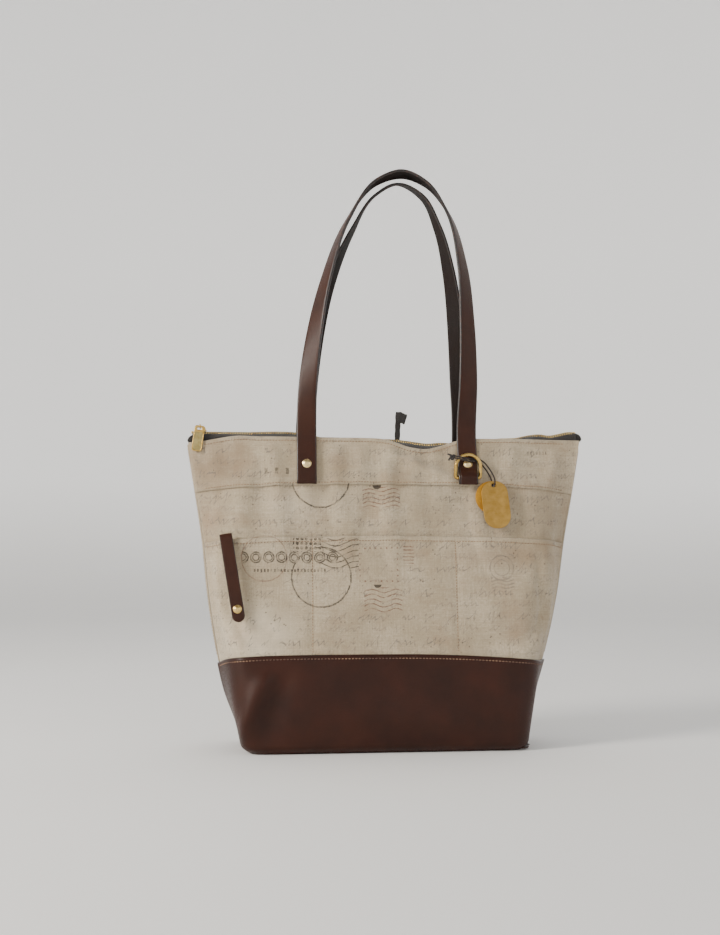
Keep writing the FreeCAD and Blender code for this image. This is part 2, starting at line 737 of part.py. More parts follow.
def make_d_ring():
    frame = ring_placement()
    half, leg = size("ringSpan") / 2, size("ringLeg")

    def placed(at, rotation):
        return frame.multiply(Placement(at, rotation))

    members = [rod("ringBar", "Sizes.ringWire / 2", "Sizes.ringSpan",
                   placed(V(-half, 0, 0), Rotation(V(0, 1, 0), 90)))]
    for name, x in (("Left", -half), ("Right", half)):
        members.append(rod("ringLeg" + name, "Sizes.ringWire / 2", "Sizes.ringLeg",
                           placed(V(x, 0, 0), Rotation(V(1, 0, 0), -90))))
        ball = doc.addObject("Part::Sphere", "ringCorner" + name)
        ball.setExpression("Radius", "Sizes.ringWire / 2")
        ball.Placement = placed(V(x, 0, 0), Rotation())
        members.append(ball)
    arch = doc.addObject("Part::Torus", "ringArch")
    bind(arch, Radius1="Sizes.ringSpan / 2", Radius2="Sizes.ringWire / 2")
    arch.Angle3 = 180
    arch.Placement = placed(V(0, leg, 0), Rotation())
    members.append(arch)
    joined("d_ring", members)


def panel_slope():
    """Lean of the front panel between pocket hem and yoke seam, in degrees."""
    drop = size("hemFront") - size("yokeFront")
    return math.degrees(math.atan2(drop, size("yokeZ") - size("hemZ")))


def on_panel(x, z, out, turn):
    """Placement in front of the panel, turned about the outward direction."""
    lean = Rotation(V(1, 0, 0), 90 - panel_slope())
    spot = Placement(V(x, -blend_levels(z).front, z), lean)
    spot = spot.multiply(Placement(V(0, 0, out), Rotation()))
    return spot.multiply(Placement(V(0, 0, 0), Rotation(V(0, 0, 1), turn)))


def round_hole(body, name, centre_y, diameter, depth):
    """Cut a round hole through a plate on the XY plane; centre_y is an expression."""
    sketch = plane_sketch(body, "XY_Plane", name)
    sketch.addGeometry(Part.Circle(V(0, 5, 0), V(0, 0, 1), 2.0), False)
    spot = sketch.addConstraint(Sketcher.Constraint("DistanceY", -1, 1, 0, 3, 5))
    wide = sketch.addConstraint(Sketcher.Constraint("Diameter", 0, 4.0))
    sketch.addConstraint(Sketcher.Constraint("PointOnObject", 0, 3, -2))
    sketch.setExpression("Constraints[%d]" % spot, centre_y)
    sketch.setExpression("Constraints[%d]" % wide, diameter)
    cut = body.newObject("PartDesign::Pocket", name + "Cut")
    cut.Profile = sketch
    cut.Midplane = True
    cut.setExpression("Length", depth)
    doc.recompute()


def make_brass_tag():
    body = new_body("brass_tag")
    sketch = plane_sketch(body, "XY_Plane", "tagOutline")
    named_line_rectangle(sketch, "Sizes.tagWide", "Sizes.tagLong")
    solid = pad(body, sketch, "Sizes.tagThick")
    round_edges(body, solid, upright, "Sizes.tagWide / 2 - 0.05")
    round_hole(body, "tagHole", "Sizes.tagLong / 2 - Sizes.tagEdge", "Sizes.tagHole",
               "4 * Sizes.tagThick")
    hang = Placement(V(0, -(size("tagLong") / 2 - size("tagEdge")), 0), Rotation())
    body.Placement = on_panel(size("charmX"), size("charmZ"), 6.9, size("tagTilt")).multiply(hang)
    keep(body, "brass_tag")


def make_round_tag():
    body = new_body("round_tag")
    sketch = plane_sketch(body, "XY_Plane", "discOutline")
    sketch.addGeometry(Part.Circle(V(0, 0, 0), V(0, 0, 1), 10.0), False)
    wide = sketch.addConstraint(Sketcher.Constraint("Diameter", 0, 20.0))
    sketch.addConstraint(Sketcher.Constraint("Coincident", 0, 3, -1, 1))
    sketch.setExpression("Constraints[%d]" % wide, "Sizes.discWide")
    pad(body, sketch, "Sizes.discThick")
    round_hole(body, "discHole", "Sizes.discWide / 2 - Sizes.discEdge", "Sizes.tagHole",
               "4 * Sizes.discThick")
    hang = Placement(V(0, -(size("discWide") / 2 - size("discEdge")), 0), Rotation())
    body.Placement = on_panel(size("charmX"), size("charmZ"), 4.0, size("discTilt")).multiply(hang)
    keep(body, "round_tag")


CORD_ROUTE = [
    # the loop of cord: knot, over the ring, behind its arch, down in front of the tags,
    # through their holes, up behind them and back to the knot
    V(69.2, -27.2, 300.4), V(75.6, -29.0, 299.4), V(82.0, -26.4, 297.6), V(88.5, -21.9, 297.6),
    V(95.5, -20.3, 298.4), V(102.2, -20.6, 294.8), V(107.4, -23.0, 287.2), V(110.6, -27.4, 280.0),
    V(111.4, -31.0, 274.6), V(110.9, -31.8, 269.6), V(110.2, -23.5, 269.4), V(109.8, -22.0, 275.6),
    V(106.0, -20.9, 283.6), V(101.2, -19.6, 290.6), V(95.0, -20.7, 296.0), V(88.5, -22.9, 295.4),
    V(82.0, -27.0, 295.4), V(75.6, -29.2, 297.2), V(69.2, -27.4, 298.4),
]


def tube(route, diameter, label):
    """Round tube of straight runs joined by tangent arcs."""
    edges = []
    start = route[0]
    for before, point, after in zip(route, route[1:], route[2:]):
        into, out = point - before, after - point
        turn = into.getAngle(out)
        shorter = min(into.Length, out.Length)
        radius = 0.45 * shorter / math.tan(turn / 2)
        reach = radius * math.tan(turn / 2)
        begin = point - into.normalize() * reach
        end = point + out.normalize() * reach
        centre_way = (begin + end) * 0.5 - point
        centre = point + centre_way.normalize() * (radius / math.cos(turn / 2))
        middle = centre + (point - centre).normalize() * radius
        edges.append(Part.LineSegment(start, begin).toShape())
        edges.append(Part.Arc(begin, middle, end).toShape())
        start = end
        print("%s turn %.0f degrees, radius %.1f" % (label, math.degrees(turn), radius))
    edges.append(Part.LineSegment(start, route[-1]).toShape())
    path = Part.Wire(edges)
    ring = Part.Wire([Part.Circle(route[0], route[1] - route[0], diameter / 2).toShape()])
    solid = path.makePipeShell([ring], True, True, 2)
    ideal = path.Length * math.pi * (diameter / 2) ** 2
    print("%s length %.1f, volume %.1f of %.1f" % (label, path.Length, solid.Volume, ideal))
    return solid


def make_cord():
    feature("tag_cord", tube(CORD_ROUTE, size("cordWide"), "tag_cord"))
    radius = size("knotWide") / 2
    middle = (CORD_ROUTE[0] + CORD_ROUTE[-1]) * 0.5 - V(radius * 0.9, 0, 0)
    knot = doc.addObject("Part::Sphere", "tag_cord_knot")
    knot.setExpression("Radius", "Sizes.knotWide / 2")
    knot.Placement = Placement(middle, Rotation())
    keep(knot, "tag_cord_knot")


# ---------------------------------------------------------------- pocket tab and ribbon

def make_pocket_tab():
    lower = blend_levels(size("pocketTabZ"))
    upper = blend_levels(size("hemZ"))
    rise = upper.z - lower.z
    lean = math.degrees(math.atan2(lower.front - upper.front, rise))
    body = new_body("pocket_tab")
    sketch = plane_sketch(body, "XY_Plane", "pocketTabOutline")
    named_line_rectangle(sketch, "Sizes.pocketTabWide", "Sizes.pocketTabLong")
    solid = pad(body, sketch, "Sizes.pocketTabThick")

    def lower_end(edge):
        return upright(edge) and edge.Vertexes[0].Point.y < 0

    round_edges(body, solid, lower_end, "Sizes.pocketTabWide / 2 - 0.05")
    out = size("pocketGap") + size("canvasThick") + size("pocketTabAir")
    base = Placement(V(size("pocketTabX"), -lower.front, lower.z), Rotation(V(1, 0, 0), 90 - lean))
    base = base.multiply(Placement(V(0, 0, out), Rotation(V(0, 0, 1), size("pocketTabTilt"))))
    body.Placement = base.multiply(Placement(V(0, size("pocketTabLong") / 2, 0), Rotation()))
    keep(body, "pocket_tab")

    seat = base.multiply(Placement(V(0, size("pocketTabRivet"), size("pocketTabThick")), Rotation()))
    keep(domed_cap("pocket_tab_rivet_cap", seat), "pocket_tab_rivet_cap")
    reach = out + size("pocketTabThick") - size("canvasThick")
    post = rod("pocketPost", "Sizes.postWide / 2",
               "Sizes.pocketGap + Sizes.pocketTabAir + Sizes.pocketTabThick",
               seat.multiply(Placement(V(0, 0, -reach), Rotation())))
    keep(post, "pocket_tab_rivet_post")


def make_ribbon():
    wide, thick, tall = size("ribbonWide"), size("ribbonThick"), size("ribbonTall")
    x, z = size("ribbonX"), size("rimZ")
    y = size("rimFront") + size("canvasThick") + 0.55 + thick
    foot = 2.0
    upright_part = Part.makeBox(wide, thick, tall + foot, V(x - wide / 2, y - thick, z - foot))
    fold = Part.Face(Part.makePolygon([
        V(x - wide / 2, y - 2 * thick - 0.2, z + tall),
        V(x + wide * 0.9, y - 2 * thick - 0.2, z + tall - 4.0),
        V(x + wide * 0.6, y - 2 * thick - 0.2, z + tall - 9.0),
        V(x - wide / 2, y - 2 * thick - 0.2, z + tall - 3.0),
        V(x - wide / 2, y - 2 * thick - 0.2, z + tall),
    ])).extrude(V(0, thick + 0.3, 0))
    feature("ribbon_loop", upright_part.fuse(fold))


# ---------------------------------------------------------------- build, check and write

def check_and_write():
    doc.recompute()
    for obj in doc.Objects:
        bad = [state for state in obj.State if state in ("Invalid", "Error")]
        if bad:
            raise RuntimeError("%s is %s" % (obj.Label, bad))
    labels = [piece.Label for piece in pieces]
    if len(set(labels)) != len(labels):
        raise RuntimeError("two sub-parts share a label")
    for piece in pieces:
        shape = piece.Shape
        if shape.isNull() or not shape.isValid() or not shape.Solids:
            raise RuntimeError("%s has no valid solid" % piece.Label)
        if shape.Volume <= 0:
            raise RuntimeError("%s has no volume" % piece.Label)
    os.makedirs("parts", exist_ok=True)
    for piece in pieces:
        piece.Shape.exportStep("parts/%s.step" % piece.Label)
    print("%d sub-parts written" % len(pieces))


make_shells()
make_base_plates()
make_zip_tapes()
make_zip_teeth()
make_zip_stops()
make_slider()
make_pull()
make_handles()
make_anchor_tabs()
make_rivets()
make_d_ring()
make_brass_tag()
make_round_tag()
make_cord()
make_pocket_tab()
make_ribbon()
check_and_write()
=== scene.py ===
"""Looks for the zip-top canvas mail tote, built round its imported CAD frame.

Shapes are worked out in millimetres in the frame's own axes and written to Blender in metres.
"face" is -1 for the front of the tote, towards -Y, and +1 for its back.  A place on the
cloth is given by t, from -1 at the left side seam to 1 at the right one, and the height z.
"""

import math

import bpy
import numpy as np
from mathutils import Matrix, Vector


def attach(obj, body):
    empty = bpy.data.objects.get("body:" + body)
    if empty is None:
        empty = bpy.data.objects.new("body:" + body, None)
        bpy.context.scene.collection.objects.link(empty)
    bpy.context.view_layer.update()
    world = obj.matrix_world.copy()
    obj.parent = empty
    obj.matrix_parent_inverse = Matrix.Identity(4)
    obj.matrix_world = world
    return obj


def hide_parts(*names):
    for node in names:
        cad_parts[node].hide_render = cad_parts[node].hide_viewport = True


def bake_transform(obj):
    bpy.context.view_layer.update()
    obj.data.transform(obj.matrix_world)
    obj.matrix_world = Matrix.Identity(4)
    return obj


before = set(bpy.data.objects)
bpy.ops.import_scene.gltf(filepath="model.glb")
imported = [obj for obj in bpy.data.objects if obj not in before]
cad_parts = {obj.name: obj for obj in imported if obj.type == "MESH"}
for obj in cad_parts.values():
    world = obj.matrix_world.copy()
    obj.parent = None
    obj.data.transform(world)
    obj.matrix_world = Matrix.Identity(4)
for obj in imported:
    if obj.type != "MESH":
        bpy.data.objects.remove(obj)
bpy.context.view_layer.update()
MM = 0.001
FRONT, BACK = -1, 1


# ---------------------------------------------------------------- numbers and curves

def curve_through(points):
    """Smooth function through (x, value) pairs, for arrays; straight past the ends."""
    xs = np.array([p[0] for p in points], float)
    ys = np.array([p[1] for p in points], float)
    slopes = np.gradient(ys, xs)

    def value(x):
        x = np.asarray(x, float)
        i = np.clip(np.searchsorted(xs, x) - 1, 0, len(xs) - 2)
        h = xs[i + 1] - xs[i]
        u = np.clip((x - xs[i]) / h, 0.0, 1.0)
        low = (1 + 2 * u) * (1 - u) ** 2 * ys[i] + u * (1 - u) ** 2 * h * slopes[i]
        return low + u * u * (3 - 2 * u) * ys[i + 1] + u * u * (u - 1) * h * slopes[i + 1]

    return value


def step(x, start, end):
    """0 before start, 1 after end, smooth between."""
    u = np.clip((np.asarray(x, float) - start) / (end - start), 0.0, 1.0)
    return u * u * (3 - 2 * u)


def bump(x, centre, width):
    """Bell curve of height 1."""
    return np.exp(-((np.asarray(x, float) - centre) / width) ** 2)


ROUGH_CELLS = (97, 89)


def rough(u, v, seed):
    """Smooth random values from -1 to 1 over the plane, one cell per unit."""
    high, wide = ROUGH_CELLS
    table = np.random.RandomState(seed).rand(high, wide) * 2 - 1
    u, v = np.broadcast_arrays(np.asarray(u, float) + 400.0, np.asarray(v, float) + 400.0)
    i, j = np.floor(u).astype(int), np.floor(v).astype(int)
    a, b = u - i, v - j
    a, b = a * a * (3 - 2 * a), b * b * (3 - 2 * b)
    corner, other = [table[i % high, k % wide] * (1 - a) + table[(i + 1) % high, k % wide] * a
                     for k in (j, j + 1)]
    return corner * (1 - b) + other * b


def unit(v):
    return v / np.maximum(np.linalg.norm(v, axis=-1, keepdims=True), 1e-9)


def arc_length(path):
    """Distance along a path at each of its points."""
    steps = np.linalg.norm(np.diff(path, axis=0), axis=1)
    return np.concatenate([[0], np.cumsum(steps)])


def even_path(path, count):
    """The same path with count evenly spaced points."""
    arc = arc_length(path)
    want = np.linspace(0, arc[-1], count)
    return np.stack([np.interp(want, arc, line) for line in path.T], -1)


# ---------------------------------------------------------------- the tote's surface

# height: half width at the left, at the right, half depth, half width of the flat, corner
HEIGHTS = [0, 30, 60, 96, 154, 216, 272, 322]
LEFT_SIDE = curve_through(list(zip(HEIGHTS, [144, 154, 165.5, 174, 184, 191, 200, 208.5])))
RIGHT_SIDE = curve_through(list(zip(HEIGHTS, [137, 146, 157, 168, 181.5, 191, 201.5, 210])))
HALF_DEPTH = curve_through(list(zip(HEIGHTS, [49.5, 51.8, 50.6, 46.4, 39, 29, 20, 11])))
FLAT_HALF = curve_through(list(zip(HEIGHTS, [147, 150, 152, 153, 156, 156, 146, 126])))
CORNER = curve_through(list(zip(HEIGHTS, [20, 24, 27, 29, 32, 36, 44, 60])))
SIDES = {-1: LEFT_SIDE, 1: RIGHT_SIDE}
SEAM_HALF = 3.6
FLAT_END, CORNER_END = 0.7, 0.86


def outline(t, z):
    """(x, y magnitude, length along the cloth) of the tote's section."""
    t, z = np.broadcast_arrays(np.asarray(t, float), np.asarray(z, float))
    side = np.where(t < 0, LEFT_SIDE(z), RIGHT_SIDE(z))
    deep, corner = HALF_DEPTH(z), CORNER(z)
    flat = FLAT_HALF(z) - np.where(t > 0, np.maximum(LEFT_SIDE(z) - side, 0), 0)
    run = np.hypot(side - flat, deep - SEAM_HALF)
    turn = np.arctan2(deep - SEAM_HALF, side - flat)
    back = np.minimum(corner * np.tan(turn / 2), run * 0.8)
    ex, ey = (side - flat) / run, (SEAM_HALF - deep) / run
    first_x = flat - back
    s = np.abs(t)
    u = np.clip(s / FLAT_END, 0, 1)
    v = np.clip((s - FLAT_END) / (CORNER_END - FLAT_END), 0, 1)
    w = np.clip((s - CORNER_END) / (1 - CORNER_END), 0, 1)
    last_x, last_y = flat + ex * back, deep + ey * back
    x = np.where(s < FLAT_END, first_x * u,
                 (1 - v) ** 2 * first_x + 2 * v * (1 - v) * flat + v * v * last_x)
    y = np.where(s < FLAT_END, deep, (1 - v) ** 2 * deep + 2 * v * (1 - v) * deep + v * v * last_y)
    tail = s > CORNER_END
    x = np.where(tail, last_x + (side - last_x) * w, x)
    y = np.where(tail, last_y + (SEAM_HALF - last_y) * w, y)
    along = first_x * u + 1.9 * back * v + (run - back) * w
    sign = np.where(t < 0, -1.0, 1.0)
    return sign * x, y, sign * along


def yoke_seam(x):
    return 270.6 - 8.0 * (np.abs(x) / 200.0) ** 3.4


def hem_line(x):
    return 216.3 - 6.5 * (np.abs(x) / 190.0) ** 2.5


def leather_line(x):
    x = np.asarray(x, float)
    left = 8.0 * np.minimum(np.abs(x) / 190.0, 1.05) ** 6
    right = 8.2 * np.minimum(np.abs(x) / 162.0, 1.05) ** 2
    return 96.8 - np.where(x < 0, left, right)


def rim_line(face, x):
    """Top edge; the front sags between the handles."""
    x = np.asarray(x, float)
    ends = 319.4 - 6.0 * step(-x, 150.0, 212.0) + 0.9 * bump(x, -158.0, 20.0)
    if face == FRONT:
        return ends - 11.3 * np.exp(-np.abs((x - 38.0) / 31.0) ** 2.2)
    return ends + 1.0 - 8.0 * bump(x, 46.0, 40.0)


def fold(x, z, x0, z0, x1, z1, width):
    """Ridge of height 1 along a line from (x0, z0) to (x1, z1), fading at its ends."""
    length = math.hypot(x1 - x0, z1 - z0)
    ux, uz = (x1 - x0) / length, (z1 - z0) / length
    along = (x - x0) * ux + (z - z0) * uz
    off = (x - x0) * -uz + (z - z0) * ux
    fade = step(along, -0.25 * length, 0.25 * length) * step(-along, -1.25 * length, -0.75 * length)
    return np.exp(-(off / width) ** 2) * fade


def pucker(x, z, line, seed, pitch=8.0, reach=7.0):
    """Small ripples beside a stitched seam."""
    off = z - line
    ripple = rough(x / pitch, off / 30.0, seed)
    return ripple * np.exp(-np.abs(off) / reach)


DIVIDERS = (-78.9, 69.4)
# height of each ridge or hollow, its ends as x, z, x, z, and its width
CANVAS_FOLDS = {
    FRONT: ((3.2, 2.0, 303.0, 34.0, 291.0, 6.0), (3.4, 30.0, 291.0, 70.0, 276.0, 5.0),
            (-2.6, 8.0, 290.0, 56.0, 270.0, 6.0), (-1.4, 14.0, 306.0, 64.0, 292.0, 5.0),
            (-2.0, -196.0, 240.0, -170.0, 262.0, 7.0), (1.8, -197.0, 225.0, -168.0, 248.0, 7.0),
            (-1.6, -196.0, 300.0, -150.0, 284.0, 9.0), (1.6, 165.0, 200.0, 176.0, 110.0, 6.0),
            (-1.6, 156.0, 195.0, 166.0, 110.0, 5.0), (1.2, 96.0, 130.0, 150.0, 165.0, 14.0),
            (-1.5, -60.0, 118.0, 20.0, 135.0, 14.0)),
    BACK: ((2.0, -90.0, 150.0, 10.0, 120.0, 16.0), (-2.0, -60.0, 240.0, 60.0, 200.0, 18.0),
           (1.6, 60.0, 180.0, 140.0, 230.0, 15.0)),
}
LEATHER_FOLDS = {
    FRONT: ((4.0, -122.0, 84.0, -150.0, 22.0, 9.0), (-3.2, -104.0, 84.0, -126.0, 18.0, 12.0),
            (2.0, -40.0, 40.0, 60.0, 24.0, 20.0), (-1.6, 90.0, 30.0, 140.0, 80.0, 16.0)),
    BACK: ((2.4, 40.0, 30.0, 120.0, 70.0, 16.0), (-2.0, -120.0, 30.0, -60.0, 60.0, 16.0)),
}
# simulated slack of each face, filled by simulate_slack
SOFT = {}


def relief(face, x, z):
    """How far the cloth stands out from the tote's plain surface, in mm."""
    x, z = np.broadcast_arrays(np.asarray(x, float), np.asarray(z, float))
    seed = 3 if face == FRONT else 23
    out = 1.1 * rough(x / 46.0, z / 38.0, seed) + 0.45 * rough(x / 17.0, z / 21.0, seed + 1)
    out = out * (0.35 + 0.65 * step(z, 70.0, 110.0))
    out = out + 0.6 * pucker(x, z, yoke_seam(x), seed + 2)
    out = out + 0.4 * pucker(x, z, hem_line(x), seed + 3)
    out = out + 0.35 * pucker(x, z, leather_line(x), seed + 4, 10.0)
    out = out + 0.5 * pucker(x, z, rim_line(face, x), seed + 5, 12.0, 9.0)
    out = out - 1.1 * bump(z, yoke_seam(x) - 2.8, 2.4) - 0.5 * bump(z, leather_line(x) + 2.0, 2.4)
    for height, *line in CANVAS_FOLDS[face]:
        out = out + height * fold(x, z, *line)
    if face == FRONT:
        for divider in DIVIDERS:
            sewn = step(z, 96.0, 100.0) * step(-z, -217.0, -212.0)
            out = out - 1.0 * bump(x, divider, 4.5) * sewn
            out = out + 0.25 * rough(x / 30.0, z / 7.0, 51) * bump(x, divider, 8.0) * sewn
    for height, *line in LEATHER_FOLDS[face]:
        out = out + height * step(-z, -92.0, -70.0) * fold(x, z, *line)
    if face in SOFT:
        out = out + SOFT[face](x, z)
    # nothing bulges at the side seams or at the ground
    out = out * step(-np.abs(x), -196.0, -172.0) * 0.9 + out * 0.1
    return out * step(z, -6.0, 16.0)


def skin(face, t, z, lift):
    """Points `lift` mm outside the canvas surface, and the outward directions there."""
    t, z, lift = np.broadcast_arrays(np.asarray(t, float), np.asarray(z, float), np.asarray(lift, float))
    dt, dz = 0.004, 1.0

    def at(t_, z_):
        x, y, along = outline(t_, z_)
        return np.stack([x, face * y, z_ * np.ones_like(x)], -1), along

    here, along = at(t, z)
    across = at(np.clip(t + dt, -1, 1), z)[0] - at(np.clip(t - dt, -1, 1), z)[0]
    up = at(t, z + dz)[0] - at(t, z - dz)[0]
    normal = unit(np.cross(across, up)) * (-face)
    return here + normal * (lift + relief(face, along, z))[..., None], normal, along


def t_at(x, z):
    """The t whose point lies at x, by bisection."""
    low, high = -np.ones_like(np.asarray(x, float)), np.ones_like(np.asarray(x, float))
    for _ in range(30):
        middle = (low + high) / 2
        right = outline(middle, z)[2] < x
        low, high = np.where(right, middle, low), np.where(right, high, middle)
    return (low + high) / 2


# ---------------------------------------------------------------- meshes

class Gather:
    """Collects the points and faces of one piece."""

    def __init__(self):
        self.points, self.cloth, self.faces, self.paint = [], [], [], []
        self.count = 0

    def add(self, points, faces, cloth=None, paint=0):
        points = np.asarray(points, float).reshape(-1, 3)
        cloth = points if cloth is None else np.asarray(cloth, float).reshape(-1, 3)
        self.faces += [[i + self.count for i in face] for face in faces]
        self.paint += [paint] * len(faces) if np.isscalar(paint) else list(paint)
        self.points.append(points)
        self.cloth.append(cloth)
        self.count += len(points)

    def piece(self, name, body, slot, materials, nodes=()):
        """Make the Blender object, let it ride its body and stand for its CAD nodes."""
        mesh = bpy.data.meshes.new(name)
        points = np.concatenate(self.points)
        mesh.from_pydata((points * MM).tolist(), [], self.faces)
        store = mesh.attributes.new("cloth", "FLOAT_VECTOR", "POINT")
        store.data.foreach_set("vector", np.concatenate(self.cloth).astype(np.float32).ravel())
        for material in materials:
            mesh.materials.append(material)
        mesh.polygons.foreach_set("material_index", self.paint)
        mesh.polygons.foreach_set("use_smooth", [True] * len(self.faces))
        mesh.update()
        obj = bpy.data.objects.new(name, mesh)
        return place(obj, body, nodes)


def place(obj, body, nodes=()):
    bpy.context.scene.collection.objects.link(obj)
    if body:
        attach(obj, body)
    if nodes:
        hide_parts(*nodes)
    return obj


def grid(rows, cols, wrap=False, flip=False, around=False):
    """Quads over points laid out row by row; wrap joins the last row to the first, and
    around joins the last column to the first."""
    faces = []
    for i in range(rows if wrap else rows - 1):
        a, b = i * cols, ((i + 1) % rows) * cols
        for j in range(cols if around else cols - 1):
            k = (j + 1) % cols
            quad = [a + j, a + k, b + k, b + j]
            faces.append(quad[::-1] if flip else quad)
    return faces


def ends(rows, cols):
    """The two end faces of a tube made by grid with around."""
    return [list(range(cols))[::-1], [(rows - 1) * cols + j for j in range(cols)]]


def sweep(gather, path, section, closed=False, paint=None):
    """Carry a closed section (list of sideways, outward offsets) along a path of frames.

    path is (points, sideways directions, outward directions); section may be one array
    for the whole path or one per point."""
    points, sideways, outward = path
    count = len(points)
    sections = np.asarray(section, float)
    if sections.ndim == 2:
        sections = np.broadcast_to(sections, (count,) + sections.shape)
    ring = sections.shape[1]
    placed = (points[:, None] + sideways[:, None] * sections[..., :1]
              + outward[:, None] * sections[..., 1:])
    along = np.broadcast_to(arc_length(points)[:, None], (count, ring))
    cloth = np.stack([sections[..., 0], along, sections[..., 1]], -1)
    faces = grid(count, ring, wrap=closed, around=True)
    colours = [0 if paint is None else paint[i % ring] for i in range(len(faces))]
    if not closed:
        faces += ends(count, ring)
        colours += [0, 0]
    gather.add(placed, faces, cloth, colours)


def frames(points, outward_hint, closed=False):
    """Path frames: tangent by differences, outward made square to it."""
    points = np.asarray(points, float)
    ahead = np.roll(points, -1, 0) - np.roll(points, 1, 0) if closed else np.gradient(points, axis=0)
    tangent = unit(ahead)
    hint = np.broadcast_to(np.asarray(outward_hint, float), points.shape)
    outward = unit(hint - tangent * np.sum(hint * tangent, -1, keepdims=True))
    return points, np.cross(tangent, outward), outward


def smooth_path(points, count):
    """Even points along a smooth curve through the given ones."""
    points = np.asarray(points, float)
    reach = arc_length(points)
    fine = np.linspace(0, reach[-1], 40 * len(points))
    dense = np.stack([curve_through(list(zip(reach, line)))(fine) for line in points.T], -1)
    return even_path(dense, count)


def round_section(radius, sides=10):
    angles = np.linspace(0, 2 * math.pi, sides, endpoint=False)
    return np.stack([np.cos(angles), np.sin(angles)], -1) * radius


def widths(section, wide):
    """The section at each point of a path, its width multiplied by wide."""
    return np.asarray(section)[None] * np.stack([wide, np.ones_like(wide)], -1)[:, None, :]


def round_tip(distance, radius, least):
    """Share of the full width at a distance from a strap's round end."""
    return np.sqrt(np.clip(1 - ((radius - np.minimum(distance, radius)) / (radius + 0.1)) ** 2, least, 1))


def strap_outline(wide, thick, crown=0.25):
    """Closed strap section with rounded, painted edges; returns points and paint."""
    half, edge = wide / 2, thick / 2
    points, paint = [], []
    for sign in (1, -1):
        for share in np.linspace(1, -1, 7):
            swell = crown * (1 - share * share) * (1 if sign > 0 else 0.3)
            points.append((sign * share * (half - edge * 0.75), sign * (edge + swell)))
            # the back face takes finish 2: the dark flesh side, darkened further as painted shade
            paint.append(0 if sign > 0 else 2)
        paint[-1] = 1
        for angle in (60, 20, -20, -60):
            a = math.radians(angle)
            points.append((-sign * (half - edge * 0.75 + edge * 0.75 * math.cos(a)),
                           sign * edge * math.sin(a)))
            paint.append(1)
    return np.array(points), paint


def stitches(gather, path, normals, pitch=3.0, length=2.1, radius=0.42):
    """Single stitches lying along a path of dense points."""
    sides, sink, first = 6, 0.12, 1.0
    arc = arc_length(path)

    def at(distance, values):
        return np.array([np.interp(distance, arc, values[:, k]) for k in range(3)])

    ring = round_section(1.0, sides)
    turn = np.random.RandomState(len(path) + int(arc[-1]))
    position = first
    while position + length < arc[-1] - 0.5:
        middle = at(position + length / 2, path)
        normal = at(position + length / 2, normals)
        normal = normal / np.linalg.norm(normal)
        along = unit(at(position + length, path) - at(position, path))
        side = unit(np.cross(along, normal))
        along = unit(along + side * turn.uniform(-0.10, 0.10))
        rings = []
        for share in (-1.0, -0.8, -0.3, 0.3, 0.8, 1.0):
            width = radius * math.sqrt(max(1 - abs(share) ** 3, 0.02))
            rise = radius * 0.75 * (1 - share * share) - sink
            centre = middle + along * share * length / 2 + normal * rise
            rings.append(centre + side * ring[:, :1] * width + normal * ring[:, 1:] * width)
        faces = grid(len(rings), sides, around=True) + ends(len(rings), sides)
        gather.add(np.concatenate(rings), faces)
        position += pitch * turn.uniform(0.97, 1.03)


# ---------------------------------------------------------------- materials

def colour(red, green, blue):
    """Screen colour, 0 to 255, as a linear shader colour."""
    def linear(c):
        c = c / 255.0
        return c / 12.92 if c <= 0.04045 else ((c + 0.055) / 1.055) ** 2.4
    return (linear(red), linear(green), linear(blue), 1.0)


